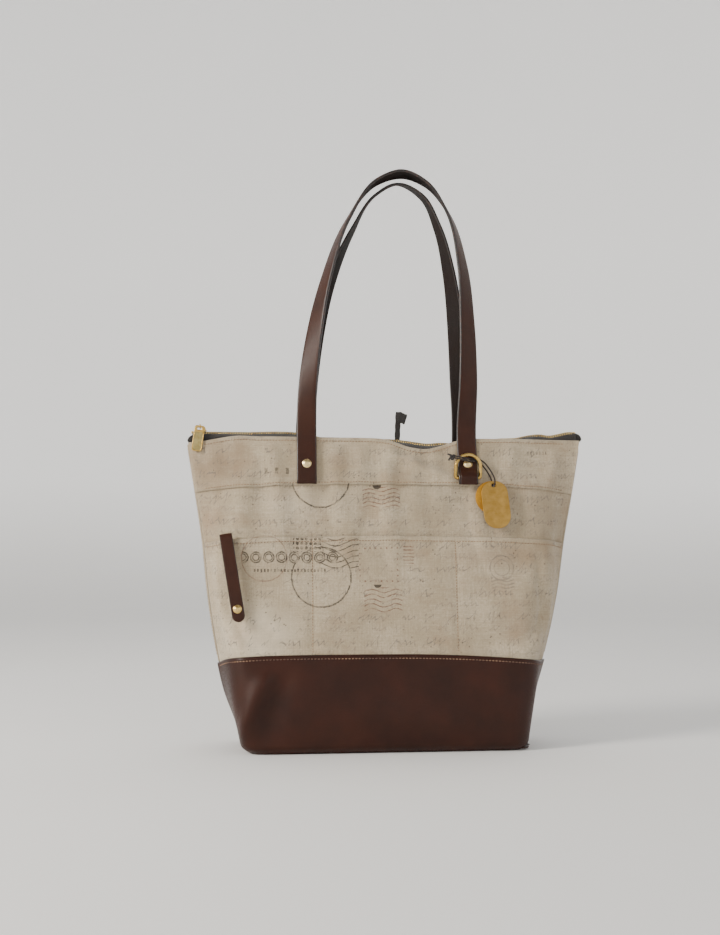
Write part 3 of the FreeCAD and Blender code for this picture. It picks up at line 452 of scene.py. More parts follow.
class Shader:
    """One node material, written as short expressions on its sockets."""

    def __init__(self, name, **surface):
        self.material = bpy.data.materials.new(name)
        self.material.use_nodes = True
        self.tree = self.material.node_tree
        self.surface = self.tree.nodes["Principled BSDF"]
        for key, value in surface.items():
            self.put(self.surface.inputs[key.replace("_", " ")], value)

    def put(self, socket, value):
        if isinstance(value, bpy.types.NodeSocket):
            self.tree.links.new(value, socket)
        else:
            socket.default_value = value

    def node(self, kind, **settings):
        made = self.tree.nodes.new(kind)
        for key, value in settings.items():
            setattr(made, key, value)
        return made

    def math(self, operation, a, b=0.0, c=0.0, clamp=False):
        made = self.node("ShaderNodeMath", operation=operation, use_clamp=clamp)
        for socket, value in zip(made.inputs, (a, b, c)):
            self.put(socket, value)
        return made.outputs[0]

    def add(self, a, b):
        return self.math("ADD", a, b)

    def sub(self, a, b):
        return self.math("SUBTRACT", a, b)

    def mul(self, first, *others):
        for other in others:
            first = self.math("MULTIPLY", first, other)
        return first

    def abs(self, value):
        return self.math("ABSOLUTE", value)

    def hypot(self, a, b):
        return self.math("SQRT", self.add(self.mul(a, a), self.mul(b, b)))

    def in_cell(self, value, pitch):
        """Place of value in its cell of width pitch, from -0.5 to 0.5."""
        return self.sub(self.math("FRACT", self.mul(value, 1 / pitch)), 0.5)

    def most(self, *masks):
        result = masks[0]
        for mask in masks[1:]:
            result = self.math("MAXIMUM", result, mask)
        return result

    def below(self, value, edge, soft):
        """1 where value is under edge, 0 past edge + soft."""
        made = self.node("ShaderNodeMapRange", interpolation_type="SMOOTHSTEP")
        for socket, given in zip(made.inputs, (value, edge, edge + soft, 1.0, 0.0)):
            self.put(socket, given)
        return made.outputs[0]

    def ramp(self, value, low, high, start=0.0, end=1.0):
        made = self.node("ShaderNodeMapRange")
        for socket, given in zip(made.inputs, (value, low, high, start, end)):
            self.put(socket, given)
        return made.outputs[0]

    def cloth(self):
        """(vector, x, z) of the cloth coordinates in mm."""
        source = self.node("ShaderNodeAttribute", attribute_name="cloth")
        parts = self.node("ShaderNodeSeparateXYZ")
        self.put(parts.inputs[0], source.outputs["Vector"])
        return source.outputs["Vector"], parts.outputs[0], parts.outputs[1]

    def place_mm(self):
        """Place on the piece itself in mm."""
        return self.stretched(self.node("ShaderNodeTexCoord").outputs["Object"], *[1 / MM] * 3)

    def stretched(self, vector, x, y, z=1.0):
        made = self.node("ShaderNodeVectorMath", operation="MULTIPLY")
        self.put(made.inputs[0], vector)
        made.inputs[1].default_value = (x, y, z)
        return made.outputs[0]

    def noise(self, vector, scale, detail=2.0, roughness=0.55):
        made = self.node("ShaderNodeTexNoise")
        self.put(made.inputs["Vector"], vector)
        made.inputs["Scale"].default_value = scale
        made.inputs["Detail"].default_value = detail
        made.inputs["Roughness"].default_value = roughness
        return made.outputs[0]

    def cells(self, vector, scale, feature="F1"):
        made = self.node("ShaderNodeTexVoronoi", feature=feature)
        self.put(made.inputs["Vector"], vector)
        made.inputs["Scale"].default_value = scale
        return made.outputs["Distance"]

    def mix(self, share, a, b):
        made = self.node("ShaderNodeMix", data_type="RGBA")
        self.put(made.inputs["Factor"], share)
        self.put(made.inputs["A"], a)
        self.put(made.inputs["B"], b)
        return made.outputs["Result"]

    def layers(self, tone, coats):
        """Colour coats, each (share, screen colour), laid over tone one after another."""
        for share, ink in coats:
            tone = self.mix(share, tone, colour(*ink))
        return tone

    def bump(self, height, depth_mm, strength=1.0):
        made = self.node("ShaderNodeBump")
        made.inputs["Strength"].default_value = strength
        made.inputs["Distance"].default_value = depth_mm * MM
        self.put(made.inputs["Height"], height)
        self.put(self.surface.inputs["Normal"], made.outputs[0])

    def base(self, value):
        self.put(self.surface.inputs["Base Color"], value)

    def shine(self, value):
        self.put(self.surface.inputs["Roughness"], value)


class Print:
    """Ink marks on the canvas, each a mask over the cloth coordinates."""

    def __init__(self, shader, x, z, vector):
        self.s, self.vector = shader, vector
        wobble = shader.sub(shader.noise(vector, 0.22, 2.0), 0.5)
        self.x = shader.add(x, shader.mul(wobble, 1.6))
        self.z = shader.add(z, shader.mul(wobble, -1.6))

    def inside(self, x0, x1, z0, z1, soft=1.0):
        s = self.s
        off_x = s.abs(s.sub(self.x, (x0 + x1) / 2))
        off_z = s.abs(s.sub(self.z, (z0 + z1) / 2))
        return s.mul(s.below(off_x, (x1 - x0) / 2, soft), s.below(off_z, (z1 - z0) / 2, soft))

    def distance(self, x, z):
        return self.s.hypot(self.s.sub(self.x, x), self.s.sub(self.z, z))

    def ring(self, x, z, radius, width):
        s = self.s
        return s.below(s.abs(s.sub(self.distance(x, z), radius)), width, 0.4)

    def waves(self, x0, x1, z0, z1, pitch, length, height, width):
        """Parallel wavy lines that fill a box."""
        s = self.s
        turn = s.mul(self.x, 2 * math.pi / length)
        lifted = s.sub(self.z, s.mul(s.math("SINE", turn), height))
        return s.mul(s.below(s.abs(s.in_cell(lifted, pitch)), width / pitch, 0.35 / pitch),
                     self.inside(x0, x1, z0, z1))

    def dots(self, x0, x1, z0, z1, pitch, radius):
        """Rows of dots in a box."""
        s = self.s
        apart = s.hypot(s.in_cell(self.x, pitch), s.in_cell(self.z, pitch))
        return s.mul(s.below(apart, radius / pitch, 0.3 / pitch), self.inside(x0, x1, z0, z1, 0.2))

    def ring_row(self, x0, x1, z, pitch, radius, width):
        """Row of plain rings."""
        s = self.s
        apart = s.hypot(s.mul(s.in_cell(self.x, pitch), pitch), s.sub(self.z, z))
        line = s.below(s.abs(s.sub(apart, radius)), width, 0.4)
        return s.mul(line, self.inside(x0, x1, z - 8.0, z + 8.0, 0.2))

    def bars(self, x0, x1, z0, z1, pitch, half, soft):
        """Row of plain upright strokes in a box; half and soft are shares of the pitch."""
        s = self.s
        stroke = s.below(s.abs(s.in_cell(self.x, pitch)), half, soft)
        return s.mul(stroke, self.inside(x0, x1, z0, z1, 0.3))

    def patch(self, x, z, rx, rz, strength):
        """Soft-edged patch of the cloth, used for brown smudges and for painted light and shade."""
        s = self.s
        reach = s.hypot(s.mul(s.sub(self.x, x), 1 / rx), s.mul(s.sub(self.z, z), 1 / rz))
        mottle = s.ramp(s.noise(self.vector, 0.05, 2.0), 0.3, 0.6, 0.5, 1.0)
        return s.mul(s.ramp(reach, 0.35, 1.15, strength, 0.0), mottle)

    def border(self, x0, x1, z0, z1, wide):
        """The edge band of a box."""
        s = self.s
        inner = self.inside(x0 + wide, x1 - wide, z0 + wide, z1 - wide, 0.3)
        return s.mul(self.inside(x0, x1, z0, z1, 0.3), s.sub(1.0, inner))


    def writing(self, pitch, offset, size, seed):
        """Rows of looping strokes that read as faded handwriting but spell nothing."""
        s = self.s
        row = s.mul(s.add(self.z, offset), 1 / pitch)
        line = s.math("FLOOR", row)
        local = s.mul(s.sub(s.sub(row, line), 0.5), pitch)
        slant = s.add(s.sub(self.x, s.mul(local, 0.55)), s.mul(line, 37.0 + seed))
        where = s.node("ShaderNodeCombineXYZ")
        s.put(where.inputs[0], s.mul(slant, 0.09))
        s.put(where.inputs[1], s.mul(line, 3.7))
        slow = s.noise(where.outputs[0], 1.0, 1.0)
        fast = s.noise(where.outputs[0], 4.5, 0.0)
        tall = s.add(0.35, s.mul(s.math("POWER", fast, 3.0), 5.0))
        turn = s.add(s.mul(slant, 1.15), s.mul(slow, 18.0))
        height = s.mul(s.math("SINE", turn), tall, size)
        steep = s.hypot(1.0, s.mul(tall, size * 1.15))
        off = s.math("DIVIDE", s.abs(s.sub(local, height)), s.add(1.0, s.mul(steep, 0.45)))
        words = s.below(s.noise(where.outputs[0], 0.75, 0.0), 0.50, 0.03)
        return s.mul(s.below(off, 0.22, 0.4), words)


def weave(shader, x, z, pitch):
    """Height of a plain weave: each thread rises where it crosses over."""
    s = shader
    a = s.math("SINE", s.mul(x, math.pi / pitch))
    b = s.math("SINE", s.mul(z, math.pi / pitch))
    over = s.math("GREATER_THAN", s.mul(a, b), 0.0)
    warp, weft = s.abs(a), s.abs(b)
    return s.add(s.mul(warp, over), s.mul(weft, s.sub(1.0, over)))


def make_canvas(name, printed):
    s = Shader(name, Sheen_Weight=0.25, Sheen_Roughness=0.6, Specular_IOR_Level=0.2)
    vector, x, z = s.cloth()
    slubs = s.add(s.noise(s.stretched(vector, 0.035, 1.1), 1.0, 2.0),
                  s.noise(s.stretched(vector, 1.1, 0.035), 1.0, 2.0))
    cross = weave(s, x, z, 0.85)
    tone = s.layers(colour(186, 170, 142), (
        (s.ramp(s.noise(vector, 0.016, 3.0), 0.35, 0.68), (222, 208, 182)),
        (s.ramp(s.noise(vector, 0.4, 3.0, 0.75), 0.36, 0.66, 0.42, 0.0), (146, 128, 102)),
        (s.ramp(slubs, 0.8, 1.25, 0.0, 0.5), (158, 141, 115)),
        # the weave's low points are darkened: painted shade between the threads
        (s.ramp(cross, 0.9, 0.1, 0.0, 0.42), (120, 105, 85)),
        (s.ramp(s.noise(vector, 0.9, 3.0, 0.7), 0.58, 0.72, 0.0, 0.6), (112, 88, 66)),
    ))
    if printed:
        tone = add_print(s, vector, x, z, tone)
    s.base(tone)
    s.shine(0.9)
    height = s.add(cross, s.mul(slubs, 0.8))
    s.bump(s.add(height, s.mul(s.noise(vector, 0.09, 2.0), 3.0)), 0.16, 0.7)
    return s.material


def add_print(s, vector, x, z, tone):
    """Postmarks, cancel lines, stamp frames and scribble on the canvas."""
    p = Print(s, x, z, vector)
    below_yoke = s.below(z, 271.0, 0.5)
    # rings, blocks and ticks stand in the places of lettering, and spell nothing
    dark = s.most(
        p.ring(-70.0, 175.0, 30.2, 0.60),
        s.mul(p.ring(-70.0, 276.5, 29.6, 0.60), below_yoke),
        p.waves(-70.0, -32.0, 184.0, 214.0, 5.6, 44.0, 3.4, 0.42),
        p.dots(-99.0, -70.0, 201.0, 214.5, 4.6, 1.5),
        p.border(-101.0, -68.0, 199.5, 215.5, 0.5),
        p.ring_row(-150.0, -52.0, 195.0, 13.0, 5.2, 0.55),
        p.ring_row(-150.0, -52.0, 195.0, 13.0, 3.2, 0.5),
        p.bars(-140.0, -64.0, 180.5, 183.2, 3.4, 0.22, 0.05),
        s.mul(p.bars(-128.0, -92.0, 281.0, 287.0, 11.0, 0.13, 0.03), 0.8),
        s.mul(p.bars(150.0, 172.0, 304.0, 307.0, 3.4, 0.22, 0.05), 0.8),
    )
    middle = s.most(
        p.waves(-26.0, 12.0, 247.0, 267.5, 4.3, 25.0, 1.5, 0.40),
        p.waves(-26.0, 12.0, 140.0, 164.0, 4.8, 25.0, 1.7, 0.40),
        s.mul(p.dots(-31.0, 9.0, 168.0, 205.0, 5.6, 0.75), p.border(-31.0, 9.0, 168.0, 205.0, 5.0)),
        s.mul(p.ring(-128.0, 194.0, 23.0, 0.35), 0.7),
        p.waves(15.0, 25.0, 187.0, 208.0, 3.4, 60.0, 0.2, 0.35),
    )
    spots = s.most(
        s.mul(s.below(p.distance(-11.5, 270.5), 4.6, 0.5), s.below(z, 269.5, 0.5)),
        s.mul(s.below(p.distance(-12.5, 168.0), 4.0, 0.5), s.below(z, 167.0, 0.5)),
    )
    ghost = s.most(p.ring(117.0, 184.0, 12.5, 0.5), p.ring(117.0, 184.0, 8.0, 0.3),
                   p.waves(106.0, 129.0, 162.0, 174.0, 3.6, 18.0, 1.0, 0.5))
    hand = s.most(p.writing(24.5, 1.25, 2.2, 5.0), s.mul(p.writing(24.5, 12.25, 1.9, 11.0), 0.6))
    worn = s.ramp(s.noise(vector, 0.13, 3.0, 0.65), 0.34, 0.54, 0.2, 1.0)
    fade = s.mul(worn, s.ramp(s.noise(vector, 1.4, 2.0, 0.7), 0.36, 0.52, 0.45, 1.0))
    specks = s.mul(s.below(s.cells(vector, 0.16), 0.10, 0.05),
                   s.ramp(s.noise(vector, 0.05, 1.0), 0.45, 0.6))
    # darker patches: brown smudges, and painted shade over the left yoke and down the right edge
    smudges_and_shade = s.most(p.patch(-182.0, 290.0, 44.0, 30.0, 0.55), p.patch(-186.0, 240.0, 26.0, 30.0, 0.40),
                  p.patch(110.0, 196.0, 52.0, 15.0, 0.42), p.patch(134.0, 126.0, 30.0, 20.0, 0.34),
                  p.patch(182.0, 250.0, 36.0, 90.0, 0.24), p.patch(-40.0, 298.0, 30.0, 12.0, 0.22))
    # lighter patches on the left: painted light
    painted_light_patches = s.most(p.patch(-132.0, 118.0, 44.0, 34.0, 0.55), p.patch(-96.0, 250.0, 40.0, 18.0, 0.25))
    return s.layers(tone, (
        (painted_light_patches, (232, 218, 194)),
        (smudges_and_shade, (132, 106, 80)),
        (s.mul(s.ramp(s.noise(vector, 0.028, 3.0, 0.6), 0.50, 0.70), 0.30), (142, 112, 82)),
        (s.mul(hand, fade, 0.75), (100, 92, 88)),
        (s.mul(ghost, fade, 0.55 * 0.95), (88, 80, 78)),
        (s.mul(specks, 0.7), (70, 56, 46)),
        (s.mul(middle, fade, 0.85), (104, 58, 42)),
        (s.mul(dark, fade, 0.95), (46, 38, 34)),
        (s.mul(spots, 0.85), (34, 26, 22)),
    ))


def make_leather(name, deep, light, grain, gloss):
    s = Shader(name, Specular_IOR_Level=0.24)
    vector = s.cloth()[0]
    cells = s.cells(vector, grain)
    cloud = s.noise(vector, 0.022, 3.0)
    fine = s.noise(vector, 2.6, 3.0, 0.7)
    scuff = s.noise(s.stretched(vector, 0.05, 0.6), 1.0, 4.0, 0.65)
    s.base(s.layers(colour(*deep), (
        (s.ramp(cloud, 0.30, 0.72), light),
        (s.ramp(fine, 0.35, 0.75, 0.0, 0.22), (26, 14, 10)),
        (s.ramp(scuff, 0.62, 0.8, 0.0, 0.16), (92, 58, 40)),
    )))
    s.shine(s.ramp(s.add(cells, s.mul(cloud, 0.8)), 0.3, 1.2, gloss - 0.08, gloss + 0.16))
    s.bump(s.add(s.mul(cells, 0.8), s.add(fine, s.mul(cloud, 4.0))), 0.12, 0.55)
    return s.material


def make_edge_paint():
    s = Shader("edge_paint", Roughness=0.38, Coat_Weight=0.2)
    vector = s.cloth()[0]
    worn = s.ramp(s.noise(vector, 0.35, 3.0), 0.5, 0.72)
    s.base(s.layers(colour(24, 15, 13), ((worn, (66, 38, 28)),)))
    s.bump(s.noise(vector, 0.8, 2.0), 0.12, 0.6)
    return s.material


def make_metal(name, tone, worn, roughness, brush=(0.05, 4.0, 4.0), scratch=0.5):
    s = Shader(name, Metallic=1.0)
    vector = s.place_mm()
    cloud = s.noise(vector, 0.12, 4.0, 0.6)
    lines = s.noise(s.stretched(vector, *brush), 1.0, 3.0, 0.6)
    s.base(s.layers(colour(*tone), ((s.ramp(s.add(cloud, s.mul(lines, 0.4)), 0.5, 0.95), worn),)))
    s.shine(s.ramp(s.add(cloud, lines), 0.7, 1.3, roughness - 0.08, roughness + 0.14))
    s.bump(s.add(lines, s.mul(cloud, 0.5)), 0.05, scratch)
    return s.material


def make_tape(name, tone, pitch):
    s = Shader(name, Sheen_Weight=0.3, Roughness=0.85, Specular_IOR_Level=0.25)
    vector, x, z = s.cloth()
    rib = weave(s, x, z, pitch)
    fuzz = s.noise(vector, 0.8, 3.0)
    # lighter on the raised ribs: painted highlight, mixed with random fuzz tone
    s.base(s.layers(colour(*tone), ((s.ramp(s.add(rib, fuzz), 0.3, 1.6), (62, 58, 56)),)))
    s.bump(rib, 0.16, 0.8)
    return s.material


def make_thread(name, tone, other):
    s = Shader(name, Roughness=0.7, Sheen_Weight=0.2)
    vector, x, z = s.cloth()
    twist = s.math("SINE", s.mul(s.add(x, s.add(z, s.mul(x, 0.3))), 7.0))
    s.base(s.layers(colour(*tone), ((s.ramp(s.noise(vector, 0.03, 2.0), 0.4, 0.6), other),)))
    s.bump(twist, 0.08, 0.6)
    return s.material


def make_disc_finish():
    s = Shader("mustard_disc", Specular_IOR_Level=0.35)
    vector = s.place_mm()
    grain = s.noise(vector, 1.1, 4.0, 0.75)
    s.base(s.layers(colour(150, 102, 6), (
        (s.ramp(s.noise(vector, 0.12, 3.0), 0.35, 0.65), (184, 132, 16)),
        (s.ramp(grain, 0.5, 0.72, 0.0, 0.6), (96, 62, 10)),
    )))
    s.shine(0.55)
    s.bump(grain, 0.2, 0.7)
    return s.material


def make_glowing_floor_finish():
    s = Shader("studio_floor", Roughness=0.75, Specular_IOR_Level=0.2)
    where = s.node("ShaderNodeTexCoord").outputs["Object"]
    s.base(s.layers(colour(240, 239, 237), ((s.noise(where, 1.4, 3.0), (246, 246, 245)),)))
    height = s.node("ShaderNodeSeparateXYZ")
    s.put(height.inputs[0], where)
    # the floor and backdrop glow, more towards the top of the wall: painted light
    s.put(s.surface.inputs["Emission Color"], (1.0, 0.99, 0.98, 1.0))
    s.put(s.surface.inputs["Emission Strength"], s.ramp(height.outputs[2], 0.0, 0.5, 0.02, 0.42))
    return s.material


CANVAS = make_canvas("printed_canvas", True)
PLAIN_CANVAS = make_canvas("plain_canvas", False)
BASE_LEATHER = make_leather("base_leather", (40, 17, 8), (58, 26, 13), 0.7, 0.34)
STRAP_LEATHER = make_leather("strap_leather", (44, 20, 10), (62, 31, 17), 0.9, 0.36)
# flesh side of the straps: dark leather, made darker still as painted shade under the straps
STRAP_BACK_SHADE = make_leather("strap_back_painted_shade", (15, 8, 6), (28, 15, 10), 1.1, 0.66)
EDGE = make_edge_paint()
THREAD = make_thread("tan_thread", (150, 116, 80), (118, 88, 60))
DARK_THREAD = make_thread("brown_thread", (96, 62, 44), (158, 120, 88))
TAPE = make_tape("black_tape", (16, 15, 15), 0.7)
RIBBON = make_tape("black_ribbon", (13, 12, 13), 0.5)
LINING = make_tape("lining_cloth", (58, 50, 44), 0.6)
BRASS = make_metal("brass", (214, 178, 104), (236, 208, 140), 0.26)
PALE_GOLD = make_metal("pale_gold", (222, 192, 134), (242, 220, 170), 0.24)
WARM_GOLD = make_metal("warm_gold", (186, 150, 78), (222, 190, 118), 0.25)
TAG_BRASS = make_metal("tag_brass", (156, 120, 58), (192, 156, 88), 0.42, (0.06, 3.0, 3.0), 0.8)
PULL_GOLD = make_metal("pull_gold", (150, 132, 82), (206, 188, 132), 0.36, (4.0, 4.0, 0.05), 0.9)
DISC = make_disc_finish()
STRAP_FINISHES = [STRAP_LEATHER, EDGE, STRAP_BACK_SHADE]
CORD = make_tape("waxed_cord", (38, 26, 22), 0.45)


# ---------------------------------------------------------------- cloth simulation

SLACK_LOW, SLACK_HIGH = 99.0, 314.0
SLACK_FRAMES = 40
# the sheet is simulated at ten times its size
SLACK_SCALE = 10
CLOTH_SETTINGS = (
    ("quality", 6), ("mass", 0.35), ("tension_stiffness", 18), ("compression_stiffness", 18),
    ("shear_stiffness", 8), ("bending_stiffness", 6.0), ("shrink_min", -0.018),
    ("vertex_group_mass", "held"), ("pin_stiffness", 4.0), ("use_pressure", False))


def simulate_slack():
    """Let a sheet a little too large hang between its seams, and keep how it buckles."""
    cols, rows = 84, 46
    for face, seed in ((FRONT, 7), (BACK, 19)):
        t = np.linspace(-0.97, 0.97, cols)[None, :] * np.ones((rows, 1))
        z = np.linspace(SLACK_LOW, SLACK_HIGH, rows)[:, None] * np.ones((1, cols))
        x, y, along = outline(t, z)
        flat = np.stack([x, face * y, z], -1)
        start = flat.copy()
        start[..., 1] += face * 0.8 * rough(along / 40.0, z / 30.0, seed)
        mesh = bpy.data.meshes.new("slack_sheet")
        mesh.from_pydata((start.reshape(-1, 3) * MM * SLACK_SCALE).tolist(), [], grid(rows, cols))
        sheet = bpy.data.objects.new("slack_sheet", mesh)
        bpy.context.scene.collection.objects.link(sheet)
        held = sheet.vertex_groups.new(name="held")
        for i in range(rows):
            for j in range(cols):
                seam = min(abs(z[i, j] - yoke_seam(along[i, j])),
                           abs(z[i, j] - hem_line(along[i, j])) + 1.0)
                edge = i in (0, rows - 1) or j in (0, cols - 1)
                weight = 1.0 if edge else max(0.0, 0.5 - seam / 8.0)
                held.add([i * cols + j], weight, "REPLACE")
        cloth = sheet.modifiers.new("cloth", "CLOTH")
        for setting, value in CLOTH_SETTINGS:
            setattr(cloth.settings, setting, value)
        cloth.point_cache.frame_start, cloth.point_cache.frame_end = 1, SLACK_FRAMES
        for number in range(1, SLACK_FRAMES + 1):
            bpy.context.scene.frame_set(number)
        done = sheet.evaluated_get(bpy.context.evaluated_depsgraph_get()).to_mesh()
        moved = np.zeros(rows * cols * 3)
        done.vertices.foreach_get("co", moved)
        bpy.context.scene.frame_set(1)
        bpy.data.objects.remove(sheet)
        out = (moved.reshape(rows, cols, 3) / MM / SLACK_SCALE - flat)[..., 1] * face
        SOFT[face] = slack_lookup(along, out)


def slack_lookup(along, out):
    """Function that reads the simulated bulge at any place on the cloth."""
    rows, cols = out.shape
    reach = (np.abs(along[:, 0]) + np.abs(along[:, -1])) / 2

    def value(x, z):
        v = np.clip((z - SLACK_LOW) / (SLACK_HIGH - SLACK_LOW), 0, 1) * (rows - 1)
        wide = np.interp(v, np.arange(rows), reach)
        u = np.clip((x / wide + 1) / 2, 0, 1) * (cols - 1)
        i = np.clip(v.astype(int), 0, rows - 2)
        j = np.clip(u.astype(int), 0, cols - 2)
        a, b = v - i, u - j
        low = out[i, j] * (1 - b) + out[i, j + 1] * b
        high = out[i + 1, j] * (1 - b) + out[i + 1, j + 1] * b
        return np.clip(low * (1 - a) + high * a, -4.0, 4.0)

    return value


simulate_slack()


# ---------------------------------------------------------------- canvas and leather shells

def shell(gather, face, low, high, outer, thick, hem_low=0.0, hem_high=0.0, roll=0.0,
          edge_paint=0, t_end=1.0, wave=0.0):
    """One layer of cloth from line low(x) to line high(x), with rounded, hemmed edges.

    outer(z) is how far its outer face stands off the canvas surface.  A hem thickens the
    last few millimetres; roll draws the low edge in under the tote."""
    cols, pitch = 230, 2.2
    t = np.linspace(-t_end, t_end, cols)
    along = outline(t, 150.0)[2]
    bottom, top = low(along), high(along)
    rows = max(int((top.max() - bottom.min()) / pitch), 6)
    share = np.linspace(0, 1, rows)[:, None]
    z = bottom + (top - bottom) * share
    for _ in range(2):
        along = outline(t[None, :] * np.ones_like(z), z)[2]
        bottom, top = low(along), high(along)
        z = bottom + (top - bottom) * share
    from_low, from_high = z - bottom, top - z
    full = hem_low * (1 - step(from_low, 4.2, 6.0)) + hem_high * (1 - step(from_high, 4.2, 6.0))
    uneven = wave * rough(along / 5.0, z / 50.0, 61) * (bump(from_high, 0, 2.0) + bump(from_low, 0, 2.0))
    lift = outer(z) + full + uneven
    under = -roll * (1 - np.clip(z / 9.0, 0, 1)) ** 2
    front, normal, arc = skin(face, t[None, :] * np.ones_like(z), z, lift + under)
    inner = front - normal * (thick + full * 0.5)[..., None]
    up = np.array([0.0, 0.0, 1.0])
    top_mid = (front[-1] + inner[-1]) / 2 + up * (thick * 0.42 + hem_high * 0.3)
    low_mid = (front[0] + inner[0]) / 2 - up * (thick * 0.42 + hem_low * 0.3)
    points = np.concatenate([front, top_mid[None], inner[::-1], low_mid[None]])
    flat = np.stack([arc * (-face), z, np.zeros_like(z)], -1)
    if face == BACK:
        flat[..., 0] += 46.0
        flat[..., 1] -= 31.0
    top_flat = flat[-1] + np.array([0, 1.0, 0])
    low_flat = flat[0] - np.array([0, 1.0, 0])
    cloth = np.concatenate([flat, top_flat[None], flat[::-1], low_flat[None]])
    count = len(points)
    faces = grid(count, cols, wrap=True, flip=(face == BACK))
    paint = [edge_paint if i in (rows - 1, rows) else 0 for i in range(count) for _ in range(cols - 1)]
    for side in (0, cols - 1):
        for i in range((count - 1) // 2):
            a, b = i * cols + side, (i + 1) * cols + side
            c, d = (count - 3 - i) * cols + side, (count - 2 - i) * cols + side
            if len({a, b, c, d}) == 4:
                faces.append([a, b, c, d])
                paint.append(0)
    gather.add(points, faces, cloth, paint)


def pocket_lift(z):
    return 0.15 + 1.5 * np.clip((z - 96.0) / 120.0, 0, 1) + 1.2


def flat_line(value):
    return lambda x: np.full_like(np.asarray(x, float), value)


def make_cloth():
    """Yoke, panel and leather base on both faces, and the front pocket."""
    for face, word in ((FRONT, "front"), (BACK, "back")):
        yoke = Gather()
        shell(yoke, face, yoke_seam, lambda x, f=face: rim_line(f, x), lambda z: 1.35 + 0 * z, 1.1,
              hem_low=0.35, hem_high=0.4)
        yoke.piece("canvas_yoke_" + word, "bag", "canvas", [CANVAS], [word + "_yoke"])
        panel = Gather()
        shell(panel, face, lambda x: leather_line(x) - 5, lambda x: yoke_seam(x) + 5,
              lambda z: 0.0 * z, 1.1)
        panel.piece("canvas_panel_" + word, "bag", "canvas", [CANVAS], [word + "_panel"])
        leather = Gather()
        shell(leather, face, flat_line(0.4), leather_line, lambda z: 3.1 + 0 * z, 1.7, roll=7.0,
              wave=0.35, edge_paint=1)
        leather.piece("leather_base_" + word, "bag", "base_leather", [BASE_LEATHER, EDGE],
                      ["base_leather_" + word])
    pocket = Gather()
    shell(pocket, FRONT, lambda x: leather_line(x) - 5, hem_line, pocket_lift, 1.0, hem_high=0.55,
          t_end=0.985)
    pocket.piece("canvas_pocket_front", "bag", "canvas", [CANVAS], ["front_pocket"])


def make_bottom():
    """Leather under the base, with its edge rolled up behind the front and back leather."""
    cols, rows = 61, 25
    x = np.linspace(-1, 1, cols)[None, :]
    y = np.linspace(-1, 1, rows)[:, None]
    half_x, half_y = 144.6, 47.0
    corner = 1 - 0.055 * (np.abs(x) ** 6) * (np.abs(y) ** 6)
    px, py = half_x * x * corner, half_y * y * corner
    rim = np.maximum(np.abs(x) ** 14, np.abs(y) ** 10)
    low = 0.25 + 1.2 * rim + 0.25 * (rough(px / 30, py / 30, 77) + 1) * (1 - rim)
    bottom = np.stack([px + 0 * low, py + 0 * low, low], -1)
    top = bottom + np.array([0, 0, 1.5])
    piece = Gather()
    piece.add(bottom, grid(rows, cols, flip=True))
    piece.add(top, grid(rows, cols))
    edge = ([(0, j) for j in range(cols)] + [(i, cols - 1) for i in range(1, rows)]
            + [(rows - 1, j) for j in range(cols - 2, -1, -1)] + [(i, 0) for i in range(rows - 2, 0, -1)])
    ring_low = np.array([bottom[i, j] for i, j in edge])
    ring_top = np.array([top[i, j] for i, j in edge])
    count = len(edge)
    band = [[i, (i + 1) % count, count + (i + 1) % count, count + i] for i in range(count)]
    piece.add(np.concatenate([ring_low, ring_top]), band)
    piece.piece("leather_base_bottom", "bag", "base_leather", [BASE_LEATHER], ["base_leather_bottom"])


def make_side_seams():
    """Folded seam allowance down each side of the canvas."""
    piece = Gather()
    leather = Gather()
    thread = Gather()
    for sign in (-1, 1):
        for target, low, high, wide, lift in ((piece, 88.0, 312.0, 3.3, 0.9),
                                              (leather, 2.5, 86.5, 3.6, 3.2)):
            z = np.linspace(low, high, 90)
            side = SIDES[sign](z) + lift * 0.55
            side = side - 7.0 * (1 - np.clip(z / 9.0, 0, 1)) ** 2
            wander = 0.3 * rough(z / 12.0, 0.0, 81 + sign)
            points = np.stack([sign * (side + wander * 0.3), wander, z], -1)
            bead = round_section(1.0, 12) * np.array([wide + 0.5, 1.25])
            sweep(target, frames(points, (sign, 0, 0)), bead)
        z = np.linspace(94, 311, 200)
        side = SIDES[sign](z) + 1.9
        for offset in (-1.9, 1.9):
            rail = np.stack([sign * (side - 0.3), np.full_like(z, offset), z], -1)
            stitches(thread, rail, np.broadcast_to(np.array([sign, 0.0, 0.0]), rail.shape))
    piece.piece("side_seams_canvas", "bag", "canvas", [PLAIN_CANVAS])
    leather.piece("side_seams_leather", "bag", "base_leather", [BASE_LEATHER])
    thread.piece("side_seam_stitches", "bag", "canvas", [THREAD])


def seam_rail(face, line, offset, lift, limit=0.97, count=420):
    """Dense path beside a seam line, and its outward directions."""
    t = np.linspace(-limit, limit, count)
    along = outline(t, 200.0)[2]
    for _ in range(3):
        z = line(along) + offset
        along = outline(t, z)[2]
    points, normal, _ = skin(face, t, z, lift)
    return points, normal


